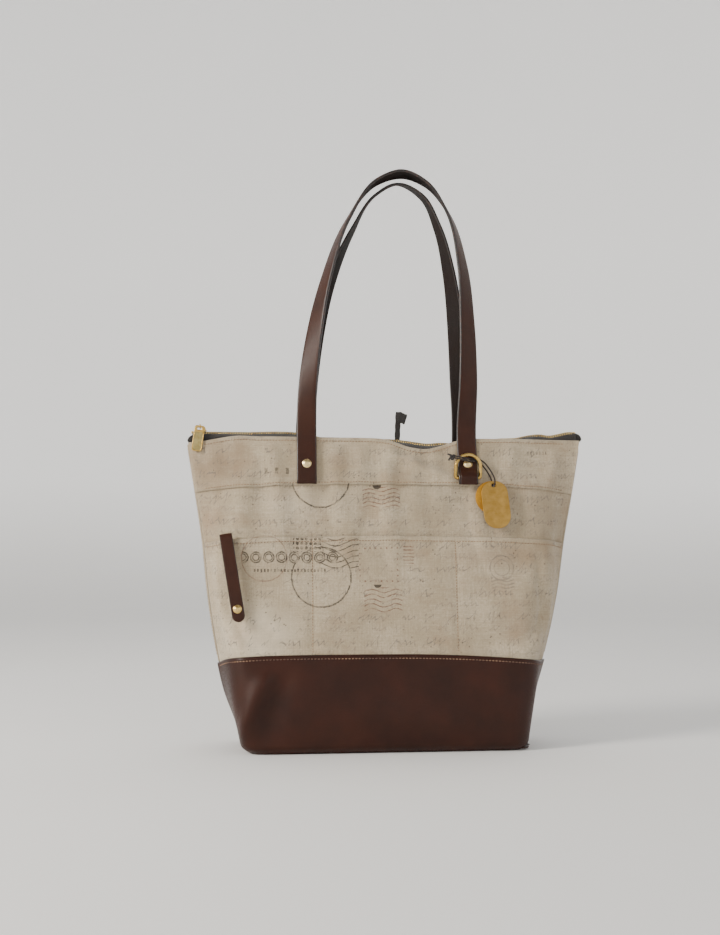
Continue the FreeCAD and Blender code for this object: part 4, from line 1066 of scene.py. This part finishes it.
def make_seam_stitches():
    """Stitch lines along the yoke, rim, pocket and leather seams."""
    light, dark = Gather(), Gather()
    for face in (FRONT, BACK):
        stitches(light, *seam_rail(face, yoke_seam, 2.0, 1.75))
        stitches(light, *seam_rail(face, lambda x, f=face: rim_line(f, x), -3.6, 1.85), pitch=3.1)
        stitches(dark, *seam_rail(face, leather_line, -3.4, 3.12), pitch=3.4, length=2.4, radius=0.48)
    stitches(light, *seam_rail(FRONT, hem_line, -4.2, 3.3, 0.975))
    for divider in DIVIDERS:
        z = np.linspace(99.0, 212.5, 160)
        t = t_at(np.full_like(z, divider), z)
        points, normal, _ = skin(FRONT, t, z, pocket_lift(z))
        stitches(light, points, normal)
    light.piece("canvas_stitches", "bag", "canvas", [THREAD])
    dark.piece("leather_stitches", "bag", "base_leather", [DARK_THREAD])


def thicken(obj, thick):
    """Give a one-sided sheet its thickness, in mm."""
    modifier = obj.modifiers.new("thickness", "SOLIDIFY")
    modifier.thickness = thick * MM
    return modifier


def make_lining():
    """Lining walls and the lined board at the bottom."""
    piece = Gather()
    for face in (FRONT, BACK):
        t = np.linspace(-0.96, 0.96, 70)[None, :]
        z = np.linspace(5.0, 308.0, 60)[:, None]
        points, _, along = skin(face, t, z, -3.0)
        points[..., 1] = face * np.maximum(face * points[..., 1], 1.2)
        cloth = np.stack([along, z + 0 * along, 0 * along], -1)
        piece.add(points, grid(60, 70), cloth)
    x = np.linspace(-142, 142, 40)[None, :]
    y = np.linspace(-44, 44, 14)[:, None]
    piece.add(np.stack([x + 0 * y, y + 0 * x, 5.0 + 0.3 * rough(x / 20, y / 20, 5)], -1), grid(14, 40))
    obj = piece.piece("lining_bag", "bag", "lining", [LINING],
                      ["lining_front", "lining_back", "lining_bottom", "base_board"])
    thicken(obj, 0.5)


# ---------------------------------------------------------------- zip

CHAIN_Z = 325.0
TEETH, TEETH_PITCH, TEETH_START = 162, 2.5, -201.0
chain_height = curve_through([
    (-206, 325), (-150, 325), (-94, 325), (-84, 323.8), (-68, 320), (-44, 317.8), (-20, 318), (3, 319),
    (20, 317.6), (33, 315.8), (45, 314.6), (58, 315.6), (70, 315.4), (80, 315.8), (100, 318),
    (121, 320.6), (142, 322), (154, 324.6), (167, 325.8), (177, 324.6), (188, 326.5), (199, 328.6),
    (206, 328), (212, 325)])
chain_side = curve_through([(-206, 0), (-150, 0), (-94, 0), (-56, -0.6), (-10, 0.8), (40, -1.0), (80, 0.8),
                            (120, -0.8), (150, 1.0), (175, -0.8), (206, 0)])


def make_zip():
    """Creased tapes that stand up out of the tote, and both rows of teeth."""
    x = np.linspace(-203.0, 206.0, 260)
    for face, word in ((FRONT, "front"), (BACK, "back")):
        rim = rim_line(face, x)
        depth = HALF_DEPTH(np.minimum(rim, 322)) - 0.9
        depth = np.minimum(depth, np.interp(x, [-204, -190, -120, 120, 190, 206],
                                            [3.6, 5.5, 11, 11, 5.5, 3.6]))
        chain, side = chain_height(x), chain_side(x)
        wrinkle = rough(x / 9.0, 0, 31 + face)
        profile = [
            (1.5 + 0 * x, chain + 0.2), (2.5 + 0 * x, chain - 0.3), (3.7 + 0 * x, chain - 1.7),
            (np.minimum(5.4, depth), chain - 3.2 + 0.3 * wrinkle),
            (np.minimum((depth + 6.4) / 2, depth - 0.3),
             np.minimum((chain + rim) / 2 - 2.6, rim + 1.0) + 0.9 * wrinkle),
            (depth - 0.5, rim - 3.0 + 0.4 * wrinkle), (depth + 0.2, rim - 8.0), (depth + 0.9, rim - 14.0),
        ]
        rows = [np.stack([x, face * p + side * (1 - i / 7), q], -1) for i, (p, q) in enumerate(profile)]
        points = np.array(rows)
        run = np.concatenate([[0], np.cumsum([1.4, 1.3, 1.6, 4.0, 4.5, 5.0, 6.0])])
        cloth = np.stack([np.broadcast_to(x, points.shape[:2]),
                          np.broadcast_to(run[:, None], points.shape[:2]), 0 * points[..., 0]], -1)
        tape = Gather()
        tape.add(points, grid(len(rows), len(x), flip=(face == FRONT)), cloth)
        obj = tape.piece("zip_tape_cloth_" + word, "bag", "zip_tape", [TAPE], ["zip_tape_" + word])
        thicken(obj, 0.55).offset = 0
    for face, word in ((FRONT, "front"), (BACK, "back")):
        teeth = Gather()
        start = TEETH_START + (0 if face == FRONT else TEETH_PITCH / 2)
        for i in range(TEETH):
            add_tooth(teeth, start + TEETH_PITCH * i, face)
        teeth.piece("zip_teeth_row_" + word, "bag", "brass", [BRASS], ["zip_teeth_" + word])


def add_tooth(gather, x, face):
    """Cast tooth: a foot round the tape's cord and a narrower head past the middle."""
    z, y = float(chain_height(x)), float(chain_side(x))
    tilt = float(chain_height(x + 1) - chain_height(x - 1)) / 2
    corners = [(1, 0.72), (0, 1.0), (-1, 0.72), (-1, -0.72), (0, -1.0), (1, -0.72)]
    rings = []
    for reach, wide, tall in ((-3.9, 0.60, 0.8), (-3.6, 0.72, 1.25), (-1.4, 0.66, 1.3), (-0.5, 0.45, 1.0),
                              (0.4, 0.58, 1.15), (1.15, 0.5, 1.0), (1.35, 0.3, 0.6)):
        drop = 0.8 * max(-reach - 1.2, 0.0)
        rings.append([(x + wide * sx, y - face * reach, z + tall * sz - drop + wide * sx * tilt)
                      for sx, sz in corners])
    faces = grid(len(rings), len(corners), flip=(face == FRONT), around=True)
    faces += [list(range(6)), [36 + j for j in range(6)]]
    gather.add(np.array(rings).reshape(-1, 3), faces)


def plate(name, outline_points, holes, thick, bevel):
    """Flat plate with rounded edges as a mesh in its own XY plane, in mm."""
    curve = bpy.data.curves.new(name, "CURVE")
    curve.dimensions = "2D"
    curve.fill_mode = "BOTH"
    curve.extrude = thick / 2 - bevel
    curve.bevel_depth = bevel
    curve.bevel_resolution = 3
    curve.offset = -bevel
    for loop in [outline_points] + list(holes):
        spline = curve.splines.new("POLY")
        spline.points.add(len(loop) - 1)
        for point, (x, y) in zip(spline.points, loop):
            point.co = (x, y, 0, 1)
        spline.use_cyclic_u = True
    obj = bpy.data.objects.new(name, curve)
    bpy.context.scene.collection.objects.link(obj)
    bpy.context.view_layer.update()
    mesh = bpy.data.meshes.new_from_object(obj.evaluated_get(bpy.context.evaluated_depsgraph_get()))
    points = np.zeros(len(mesh.vertices) * 3)
    mesh.vertices.foreach_get("co", points)
    faces = [list(p.vertices) for p in mesh.polygons]
    bpy.data.objects.remove(obj)
    return points.reshape(-1, 3), faces


def rounded_box(half_x, half_y, radius, steps=10):
    """Rounded rectangle, anticlockwise."""
    loop = []
    for sx, sy, start in ((1, 1, 0), (-1, 1, 90), (-1, -1, 180), (1, -1, 270)):
        for i in range(steps + 1):
            a = math.radians(start + 90 * i / steps)
            loop.append((sx * (half_x - radius) + radius * math.cos(a),
                         sy * (half_y - radius) + radius * math.sin(a)))
    return loop


def ellipse(x, y, rx, ry, steps=32):
    return [(x + rx * math.cos(2 * math.pi * i / steps), y + ry * math.sin(2 * math.pi * i / steps))
            for i in range(steps)]


def set_in(points, origin, right, up):
    """Points of a local XY plate placed with its X and Y along right and up."""
    right, up = unit(np.array(right, float)), unit(np.array(up, float))
    out = np.cross(right, up)
    return np.array(origin) + points[:, :1] * right + points[:, 1:2] * up + points[:, 2:3] * out


SLIDER_X, BAR_Z, LINK = -195.0, 330.9, 8.6


def make_slider():
    """Slider body, the link on its arch and the pull."""
    piece = Gather()
    waist = [(6.4, 2.6), (5.6, 3.9), (2.5, 4.25), (-1.5, 3.9), (-4.2, 3.4), (-6.2, 2.5), (-6.4, 1.0)]
    loop = waist + [(x, -y) for x, y in waist[::-1]]
    loop = [tuple(p) for p in smooth_path(loop + loop[:1], 60)[:-1]]
    for level, scale in ((CHAIN_Z + 2.1, 1.0), (CHAIN_Z - 2.1, 0.66)):
        points, faces = plate("slider_plate", [(x, y * scale) for x, y in loop], [], 1.0, 0.35)
        piece.add(points + np.array([SLIDER_X, 0, level]), faces)
    for side in (-1, 1):
        rail = np.array([(-5.6, 3.1), (-2, 3.5), (2, 3.9), (5.4, 3.7)])
        rail = smooth_path(rail, 16)
        path = np.stack([SLIDER_X + rail[:, 0], side * rail[:, 1], np.full(16, CHAIN_Z + 1.35)], -1)
        sweep(piece, frames(path, (0, 0, 1)), rounded_box(0.36, 0.6, 0.25, 3))
    post = rounded_box(0.45, 1.1, 0.3, 4)
    path = np.stack([np.full(5, SLIDER_X - 5.9), np.zeros(5), np.linspace(-1.8, 1.8, 5) + CHAIN_Z], -1)
    sweep(piece, frames(path, (0, 1, 0)), post)
    arch = [(-4.8, 2.4), (-4.75, 4.5), (-4.1, 5.65), (-2.2, 6.1), (0, 6.15), (2.2, 6.1), (4.1, 5.65),
            (4.75, 4.5), (4.8, 2.4)]
    arch = smooth_path(arch, 48)
    path = np.stack([SLIDER_X + arch[:, 0], np.zeros(48), CHAIN_Z + arch[:, 1] - 0.25], -1)
    sweep(piece, frames(path, (0, 1, 0)), rounded_box(0.7, 0.8, 0.45, 4))
    piece.piece("zip_slider_body", "zip_slider", "brass", [WARM_GOLD], ["zip_slider"])

    link = Gather()
    # bar radius, clearance and wire radius
    reach = 0.8 + 0.3 + 0.6
    turns = np.linspace(0, 2 * math.pi, 64, endpoint=False)
    y = reach * np.cos(turns) + np.where(np.cos(turns) > 0, 0, -LINK)
    ring = np.stack([np.full(64, SLIDER_X), y, BAR_Z + reach * np.sin(turns)], -1)
    ring = even_path(np.concatenate([ring, ring[:1]]), 90)[:-1]
    sweep(link, frames(ring, (1, 0, 0), closed=True), round_section(0.6, 10), closed=True)
    link.piece("zip_pull_ring", "zip_link", "brass", [WARM_GOLD], ["zip_pull_link"])

    pull = Gather()
    tilt = math.radians(8.0)
    half_x, half_y, corner = 5.3, 13.5, 2.6
    down = np.array([-math.sin(tilt), 0, -math.cos(tilt)])
    centre = np.array([SLIDER_X, -LINK, BAR_Z]) + down * (half_y - 0.6)
    right = (math.cos(tilt), 0, -math.sin(tilt))
    hole = ellipse(0, 10.1, 2.3, 2.1)
    points, faces = plate("pull_plate", rounded_box(half_x, half_y, corner), [hole], 1.1, 0.3)
    pull.add(set_in(points, centre, right, -down), faces, points, 1)
    window = [(x, y - 2.9) for x, y in rounded_box(4.2, 9.4, 1.7)]
    points, faces = plate("pull_rim", rounded_box(half_x, half_y, corner), [window, hole], 1.8, 0.42)
    pull.add(set_in(points, centre, right, -down), faces, points, 0)
    pull.piece("zip_pull_tab", "zip_pull", "brass", [WARM_GOLD, PULL_GOLD], ["zip_pull"])


def make_zip_ends():
    """Stops and the folded tape ends past them."""
    stops = Gather()
    for side in (-1, 1):
        points, faces = plate("stop", rounded_box(1.1, 1.0, 0.4, 4), [], 2.5, 0.3)
        stops.add(points + np.array([-203.2, side * 1.3, CHAIN_Z]), faces)
    stops.piece("zip_top_stop_pair", "bag", "brass", [BRASS], ["zip_top_stops"])
    end = Gather()
    points, faces = plate("stop", rounded_box(1.5, 2.3, 0.5, 4), [], 2.6, 0.35)
    end.add(points + np.array([204.8, 0.0, float(chain_height(204.8))]), faces)
    end.piece("zip_bottom_stop_block", "bag", "brass", [BRASS], ["zip_bottom_stop"])
    tape = Gather()
    left = [(-189, 320.4, 4.4), (-195, 320.0, 4.4), (-201, 318.8, 4.2), (-205, 317.2, 3.2),
            (-207.6, 315.2, 1.4)]
    right = [(190, 323.0, 3.0), (199, 324.2, 4.4), (205, 324.0, 4.6), (209.4, 322.6, 4.0),
             (212.4, 320.6, 1.6)]
    for corner in (left, right):
        run = smooth_path(corner, 24)
        path = np.stack([run[:, 0], 0.4 * rough(run[:, 0] / 3, 0, 9), run[:, 1]], -1)
        sweep(tape, frames(path, (0, -1, 0)), widths(rounded_box(1.0, 1.5, 0.5, 3), run[:, 2]))
    tape.piece("zip_tape_ends", "bag", "zip_tape", [TAPE])


# ---------------------------------------------------------------- handles

STRAP_X, RIVET_Z = 84.5, 292.0
CANVAS_THICK = 1.2
YOKE_SLOPE = math.atan2(9.0, 50.0)

FRONT_STRAP = [
    (-84.5, 323), (-84.0, 362), (-77.5, 424), (-64.5, 488), (-41.0, 554), (-9.0, 597),
    (18.0, 606), (43.5, 596), (67.5, 564), (82.5, 508), (87.0, 448), (87.5, 380), (84.5, 323)]
BACK_STRAP = [
    (-84.5, 323), (-82.5, 362), (-74.5, 424), (-59.0, 488), (-35.0, 546), (-9.5, 587),
    (14.0, 600), (41.0, 587), (58.5, 553), (71.0, 503), (78.0, 446), (82.5, 380), (84.5, 323)]


def strap_depth(z, face):
    foot, top = 11 + CANVAS_THICK + 1.5 + 0.9, 8.0
    share = np.clip((z - 322.0) / 270.0, 0, 1)
    return face * (foot + (top - foot) * np.sin(share * math.pi / 2))


def anchor(x, face, ringed):
    """Sewn-down end of a strap, from its lower end up to the top edge."""
    points = []
    for z in (270.8, 275.0, 279.5, 284.0, 290.0, 300.0, 310.0):
        deep = float(HALF_DEPTH(z)) + CANVAS_THICK + 1.65
        over = 4.3 * bump(z, 277.9, 4.6) if ringed else 0.0
        over += 2.0 * (1 - step(z, 268, 276)) if ringed else 0.0
        points.append((x, face * (deep + float(over)), z))
    return points


def make_handle(name, word, face, strap, ringed, turn, haste):
    """Strap loop; turn is its angle at the top, haste makes a leg turn early (+) or late (-)."""
    legs = [(x, float(strap_depth(z, face)), z) for x, z in strap]
    left, right = anchor(-STRAP_X, face, False), anchor(STRAP_X, face, ringed)
    whole = smooth_path(left + legs + right[::-1], 190)
    arc = arc_length(whole)
    foot = arc_length(np.array(left + legs[:1]))[-1]
    share = np.clip((arc - foot) / arc_length(smooth_path(legs, 400))[-1], 0, 1)
    climb = 1.0 - np.abs(2.0 * share - 1.0)
    early = np.where(share < 0.5, haste[0], haste[1])
    twist = np.radians(turn) * climb * (1.0 + early * (1.0 - climb))
    tangent = unit(np.gradient(whole, axis=0))
    outward = np.stack([-tangent[:, 2], 0 * climb, tangent[:, 0]], -1)
    facing = np.array([0, face, 0.0]) * np.cos(twist)[:, None] + outward * np.sin(twist)[:, None]
    section, paint = strap_outline(20.6, 3.0)
    sections = widths(section, 1 + 0.15 * 0.12 * rough(arc / 35.0, 0, 41 + face))
    piece = Gather()
    sweep(piece, frames(whole, facing), sections, paint=paint)
    obj = piece.piece(name, None, "strap_leather", STRAP_FINISHES)
    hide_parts(word + "_handle", word + "_handle_tabs")
    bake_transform(obj)


def make_ring_tab():
    """Round-topped leather tab laid over the right strap end; it holds the ring's bar."""
    rises = [(270.6, 3.0), (274, 4.4), (278, 6.3), (282, 4.9), (286, 2.2), (292, 1.0),
             (298, 0.8), (302.5, 0.6)]
    run = [(STRAP_X, -(float(HALF_DEPTH(z)) + CANVAS_THICK + 2.6 + rise), z) for z, rise in rises]
    path = smooth_path(run, 60)
    arc = arc_length(path)
    section, paint = strap_outline(17.6, 1.5, 0.2)
    sections = widths(section, round_tip(arc[-1] - arc, 8.6, 0.02))
    piece = Gather()
    sweep(piece, frames(path, (0, -1, 0)), sections, paint=paint)
    piece.piece("ring_tab_leather", "bag", "strap_leather", STRAP_FINISHES)


def make_rivets():
    """Domed caps with a thin collar."""
    caps = Gather()
    deep = float(HALF_DEPTH(RIVET_Z)) + CANVAS_THICK + 3.1
    for x, face in ((-STRAP_X, FRONT), (STRAP_X, FRONT), (-STRAP_X, BACK), (STRAP_X, BACK)):
        normal = np.array([0, face * math.cos(YOKE_SLOPE), math.sin(YOKE_SLOPE)])
        seat = 1.1 if x > 0 and face == FRONT else 0.0
        add_dome(caps, np.array([x, face * deep, RIVET_Z]) + normal * seat, normal)
    caps.piece("handle_rivet_domes", "bag", "brass", [PALE_GOLD], ["handle_rivet_caps"])


def add_dome(gather, centre, normal, radius=4.7):
    side = unit(np.cross(normal, np.array([1.0, 0.2, 0.1])))
    other = np.cross(normal, side)
    profile = [(1.0, -0.3), (1.03, 0.15), (0.98, 0.5), (0.9, 0.62), (0.84, 0.85), (0.72, 1.5),
               (0.5, 2.05), (0.25, 2.35), (0.04, 2.42)]
    sides = 36
    around = round_section(1.0, sides)
    circle = side * around[:, :1] + other * around[:, 1:]
    rings = [centre + normal * rise + circle * radius * share for share, rise in profile]
    faces = grid(len(rings), sides, flip=True, around=True)
    faces += [end[::-1] for end in ends(len(rings), sides)]
    gather.add(np.concatenate(rings), faces)


# ---------------------------------------------------------------- ring, cord and tags

def make_ring():
    """D-ring: a straight bar with small bends, two legs and a half circle."""
    centre = np.array([STRAP_X, -22.474, 277.907])
    tilt = math.radians(16.0) - YOKE_SLOPE
    up = np.array([0, -math.sin(tilt), math.cos(tilt)])
    half, leg, corner = 13.2, 11.0, 2.0

    def bend(x, z, radius, angles):
        return [(x + radius * math.cos(a), z + radius * math.sin(a)) for a in np.radians(angles)]

    local = [(x, 0.0) for x in np.linspace(corner - half, half - corner, 12)]
    local += bend(half - corner, corner, corner, (-70, -45, -20))
    local += [(half, z) for z in np.linspace(3.0, leg, 6)]
    local += bend(0.0, leg, half, np.linspace(6, 174, 32))
    local += [(-half, z) for z in np.linspace(leg, 3.0, 6)]
    local += bend(corner - half, corner, corner, (200, 225, 250))
    points = np.array([centre + np.array([x, 0, 0]) + up * y for x, y in local])
    piece = Gather()
    path = frames(points, np.cross(np.array([1.0, 0, 0]), up), closed=True)
    sweep(piece, path, round_section(1.8, 16), closed=True)
    piece.piece("d_ring_wire", "d_ring", "brass", [WARM_GOLD], ["d_ring"])


CORD_ROUTE = [
    (69.2, -27.2, 300.4), (75.6, -29.0, 299.4), (82.0, -26.4, 297.6), (88.5, -21.9, 297.6),
    (95.5, -20.3, 298.4), (102.2, -20.6, 294.8), (107.4, -23.0, 287.2), (110.6, -27.4, 280.0),
    (111.4, -31.0, 274.6), (110.9, -31.8, 269.6), (110.2, -23.5, 269.4), (109.8, -22.0, 275.6),
    (106.0, -20.9, 283.6), (101.2, -19.6, 290.6), (95.0, -20.7, 296.0), (88.5, -22.9, 295.4),
    (82.0, -27.0, 295.4), (75.6, -29.2, 297.2), (69.2, -27.4, 298.4)]


def make_cord():
    """The charm cord along its route, and the knot that ties its ends."""
    curve = bpy.data.curves.new("charm_cord_line", "CURVE")
    curve.dimensions = "3D"
    curve.bevel_depth = 0.75 * MM
    curve.bevel_resolution = 4
    curve.resolution_u = 8
    spline = curve.splines.new("NURBS")
    spline.points.add(len(CORD_ROUTE) - 1)
    for point, where in zip(spline.points, CORD_ROUTE):
        point.co = [c * MM for c in where] + [1]
    spline.order_u = 3
    spline.use_endpoint_u = True
    curve.materials.append(CORD)
    cord = place(bpy.data.objects.new("charm_cord_line", curve), "charm_cord", ["tag_cord"])
    knot = Gather()
    turns = np.linspace(0, 2 * math.pi, 60, endpoint=False)
    middle = np.array([67.1, -27.3, 299.4])
    wrap = np.stack([np.sin(turns) + 1.6 * np.sin(2 * turns), np.sin(3 * turns) * 0.9,
                     np.cos(turns) - 1.6 * np.cos(2 * turns)], -1) * np.array([0.95, 1.3, 1.05])
    loop = middle + wrap
    sweep(knot, frames(loop, unit(wrap + 1e-3), closed=True), round_section(1.05, 10), closed=True)
    for run in ([(66.9, -27.6, 299.8), (64.6, -28.2, 301.4), (62.0, -28.0, 302.2)],
                [(66.8, -27.4, 299.0), (64.2, -28.0, 297.8), (63.0, -27.6, 295.4)]):
        path = smooth_path(run, 14)
        sweep(knot, frames(path, (0, -1, 0.1)), round_section(0.95, 8))
    knot_obj = knot.piece("charm_cord_knot_tied", "charm_cord", "cord", [CORD], ["tag_cord_knot"])


PANEL_SLOPE = math.atan2(9.0, 56.0)


def panel_frame(out, turn):
    """Right, up and outward directions on the upper panel, and the tags' hanging point."""
    depth = float(np.interp(268.6, [216, 272], [29, 20]))
    normal = np.array([0, -math.cos(PANEL_SLOPE), math.sin(PANEL_SLOPE)])
    up = np.array([0, math.sin(PANEL_SLOPE), math.cos(PANEL_SLOPE)])
    right = np.array([1.0, 0, 0])
    c, s = math.cos(math.radians(turn)), math.sin(math.radians(turn))
    origin = np.array([110.4, -depth, 268.6]) + normal * out
    return origin, right * c + up * s, up * c - right * s


def make_tags():
    """Brass dog tag and round tag, hanging from their holes."""
    tag, tag_hole = Gather(), 25 - 4.4
    origin, right, up = panel_frame(6.9 + 0.6, 5.0)
    loop = smooth_path(rounded_box(14.0, 25.0, 13.0, 14) + [(14.0, 12.0)], 120)[:-1]
    points, faces = plate("tag", loop, [ellipse(0, tag_hole, 2.6, 2.0)], 1.2, 0.35)
    points[:, 2] += 0.25 * np.sin(points[:, 1] / 18.0) + 0.12 * (points[:, 0] / 14) ** 2
    points[:, 1] -= tag_hole
    tag.add(set_in(points, origin, right, up), faces, points)
    tag.piece("brass_tag_plate", "brass_tag", "tag_brass", [TAG_BRASS], ["brass_tag"])
    disc = Gather()
    origin, right, up = panel_frame(4.0 + 1.25, -8.0)
    hole = 17.5 - 4.8
    points, faces = plate("disc", ellipse(0, 0, 17.5, 17.5, 72), [ellipse(0, hole, 2.1, 2.1)], 2.4, 0.7)
    points[:, 1] -= hole
    disc.add(set_in(points, origin, right, up), faces, points)
    disc.piece("mustard_disc_plate", "round_tag", "tag_enamel", [DISC], ["round_tag"])


# ---------------------------------------------------------------- pocket tab, ribbon

def make_pocket_tab():
    """Strap sewn over the pocket's hem, riveted near its round lower end."""
    wall, lean = 0.145, math.radians(9.5)
    base = np.array([-152.5, -(39 + 3.9), 130.0])
    normal = np.array([0, -math.cos(wall), math.sin(wall)])
    up = np.array([0, math.sin(wall), math.cos(wall)])
    right = np.array([1.0, 0, 0])
    side = right * math.cos(lean) + up * math.sin(lean)
    along = up * math.cos(lean) - right * math.sin(lean)
    start = base + normal * (1.4 + 1.2 + 0.9 + 0.9)
    runs = [(0.0, 0.1), (10, 0.0), (22, 0.4), (40, 1.4), (58, 1.5), (74, 0.8), (84, 0.2), (88.4, -0.5),
            (89.8, -1.9), (89.0, -3.0)]
    path = smooth_path([start + along * a + normal * b for a, b in runs], 80)
    sideways = np.broadcast_to(side, path.shape)
    outward = unit(np.cross(sideways, unit(np.gradient(path, axis=0))))
    section, paint = strap_outline(13.0, 1.8, 0.15)
    piece = Gather()
    sections = widths(section, round_tip(arc_length(path), 6.5, 0.03))
    sweep(piece, (path, sideways, outward), sections, paint=paint)
    piece.piece("pocket_tab_strap", "bag", "strap_leather", STRAP_FINISHES, ["pocket_tab"])
    dome = Gather()
    add_dome(dome, start + along * 13 + normal * 0.95, normal, 4.3)
    dome.piece("pocket_tab_rivet_dome", "bag", "brass", [BRASS], ["pocket_tab_rivet_cap"])


def make_ribbon():
    """Grosgrain end that stands up behind the zip with its top folded to the right."""
    piece = Gather()
    stem = [(14.4, 14.4, 314), (14.7, 14.0, 324), (15.2, 13.6, 338), (15.6, 13.4, 350)]
    flag = [(13.4, 12.5, 345.2), (16.5, 12.1, 345.4), (20.5, 12.6, 343.8), (24.0, 13.6, 342.6)]
    section = rounded_box(1.0, 0.45, 0.3, 3)
    for run, half, hint in ((stem, 2.9, (-0.1, -1, 0)), (flag, 5.6, (0, -1, 0.1))):
        ripple = 1 + 0.06 * np.sin(np.arange(30) * 0.8)
        sweep(piece, frames(smooth_path(run, 30), hint), widths(section, half * ripple))
    piece.piece("ribbon_end", "bag", "ribbon", [RIBBON], ["ribbon_loop"])


# ---------------------------------------------------------------- studio

def make_studio():
    """Pale floor that curves up into a round backdrop."""
    rings, sides = [], 96
    profile = [(0.6, 0), (1.4, 0), (2.4, 0), (3.0, 0.03), (3.5, 0.16), (3.9, 0.45), (4.15, 0.9),
               (4.2, 1.6), (4.2, 3.2)]
    turns = np.linspace(0, 2 * math.pi, sides, endpoint=False)
    for r, h in profile:
        rings += [(r * math.cos(a), r * math.sin(a), h - 0.0002) for a in turns]
    faces = [list(range(sides))] + grid(len(profile), sides, flip=True, around=True)
    mesh = bpy.data.meshes.new("studio_floor")
    mesh.from_pydata(rings, [], faces)
    mesh.polygons.foreach_set("use_smooth", [True] * len(faces))
    mesh.materials.append(make_glowing_floor_finish())
    floor = bpy.data.objects.new("studio_floor", mesh)
    bpy.context.scene.collection.objects.link(floor)

    world = bpy.data.worlds.new("studio")
    world.use_nodes = True
    background = world.node_tree.nodes["Background"]
    background.inputs[0].default_value = (1.0, 0.99, 0.97, 1)
    background.inputs[1].default_value = 0.32
    bpy.context.scene.world = world

    def softbox(name, where, aim, size, power, tint):
        light = bpy.data.lights.new(name, "AREA")
        light.shape = "RECTANGLE"
        light.size, light.size_y = size
        light.energy = power
        light.color = tint
        obj = bpy.data.objects.new(name, light)
        obj.location = where
        obj.rotation_mode = "QUATERNION"
        obj.rotation_quaternion = (Vector(aim) - Vector(where)).to_track_quat("-Z", "Y")
        bpy.context.scene.collection.objects.link(obj)

    softbox("key_light", (-2.0, -0.9, 1.2), (0, 0, 0.2), (0.6, 0.8), 58, (1.0, 0.94, 0.86))
    softbox("fill_light", (2.0, -1.4, 0.9), (0, 0, 0.25), (1.2, 1.2), 4, (0.93, 0.96, 1.0))
    softbox("top_light", (0.3, 0.7, 2.3), (0, 0, 0.25), (1.6, 1.6), 12, (1.0, 0.99, 0.97))


def make_camera():
    """Low view from slightly to the left."""
    camera = bpy.data.objects.new("camera", bpy.data.cameras.new("camera"))
    camera.data.sensor_width = 36.0
    camera.data.lens = 43.65
    camera.data.clip_start, camera.data.clip_end = 0.02, 50
    camera.location = (-0.1462, -1.1911, 0.200)
    heading, pitch = math.radians(5.711), math.radians(4.278)
    aim = Vector((math.sin(heading) * math.cos(pitch), math.cos(heading) * math.cos(pitch),
                  math.sin(pitch)))
    camera.rotation_mode = "QUATERNION"
    camera.rotation_quaternion = aim.to_track_quat("-Z", "Y")
    bpy.context.scene.collection.objects.link(camera)
    bpy.context.scene.camera = camera


def finish_hidden_metal():
    """Rivet posts and burrs keep their CAD shape and take a brass finish."""
    for node in ("handle_rivet_posts", "handle_rivet_burrs", "pocket_tab_rivet_post"):
        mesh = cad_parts[node].data
        mesh.materials.clear()
        mesh.materials.append(BRASS)


make_cloth()
make_bottom()
make_side_seams()
make_seam_stitches()
make_lining()
make_zip()
make_slider()
make_zip_ends()
make_handle("handle_strap_front", "front", FRONT, FRONT_STRAP, True, 97.0, (0.45, -0.25))
make_handle("handle_strap_back", "back", BACK, BACK_STRAP, False, 108.0, (0.0, 0.0))
make_rivets()
make_ring_tab()
make_ring()
make_cord()
make_tags()
make_pocket_tab()
make_ribbon()
finish_hidden_metal()
make_studio()
make_camera()
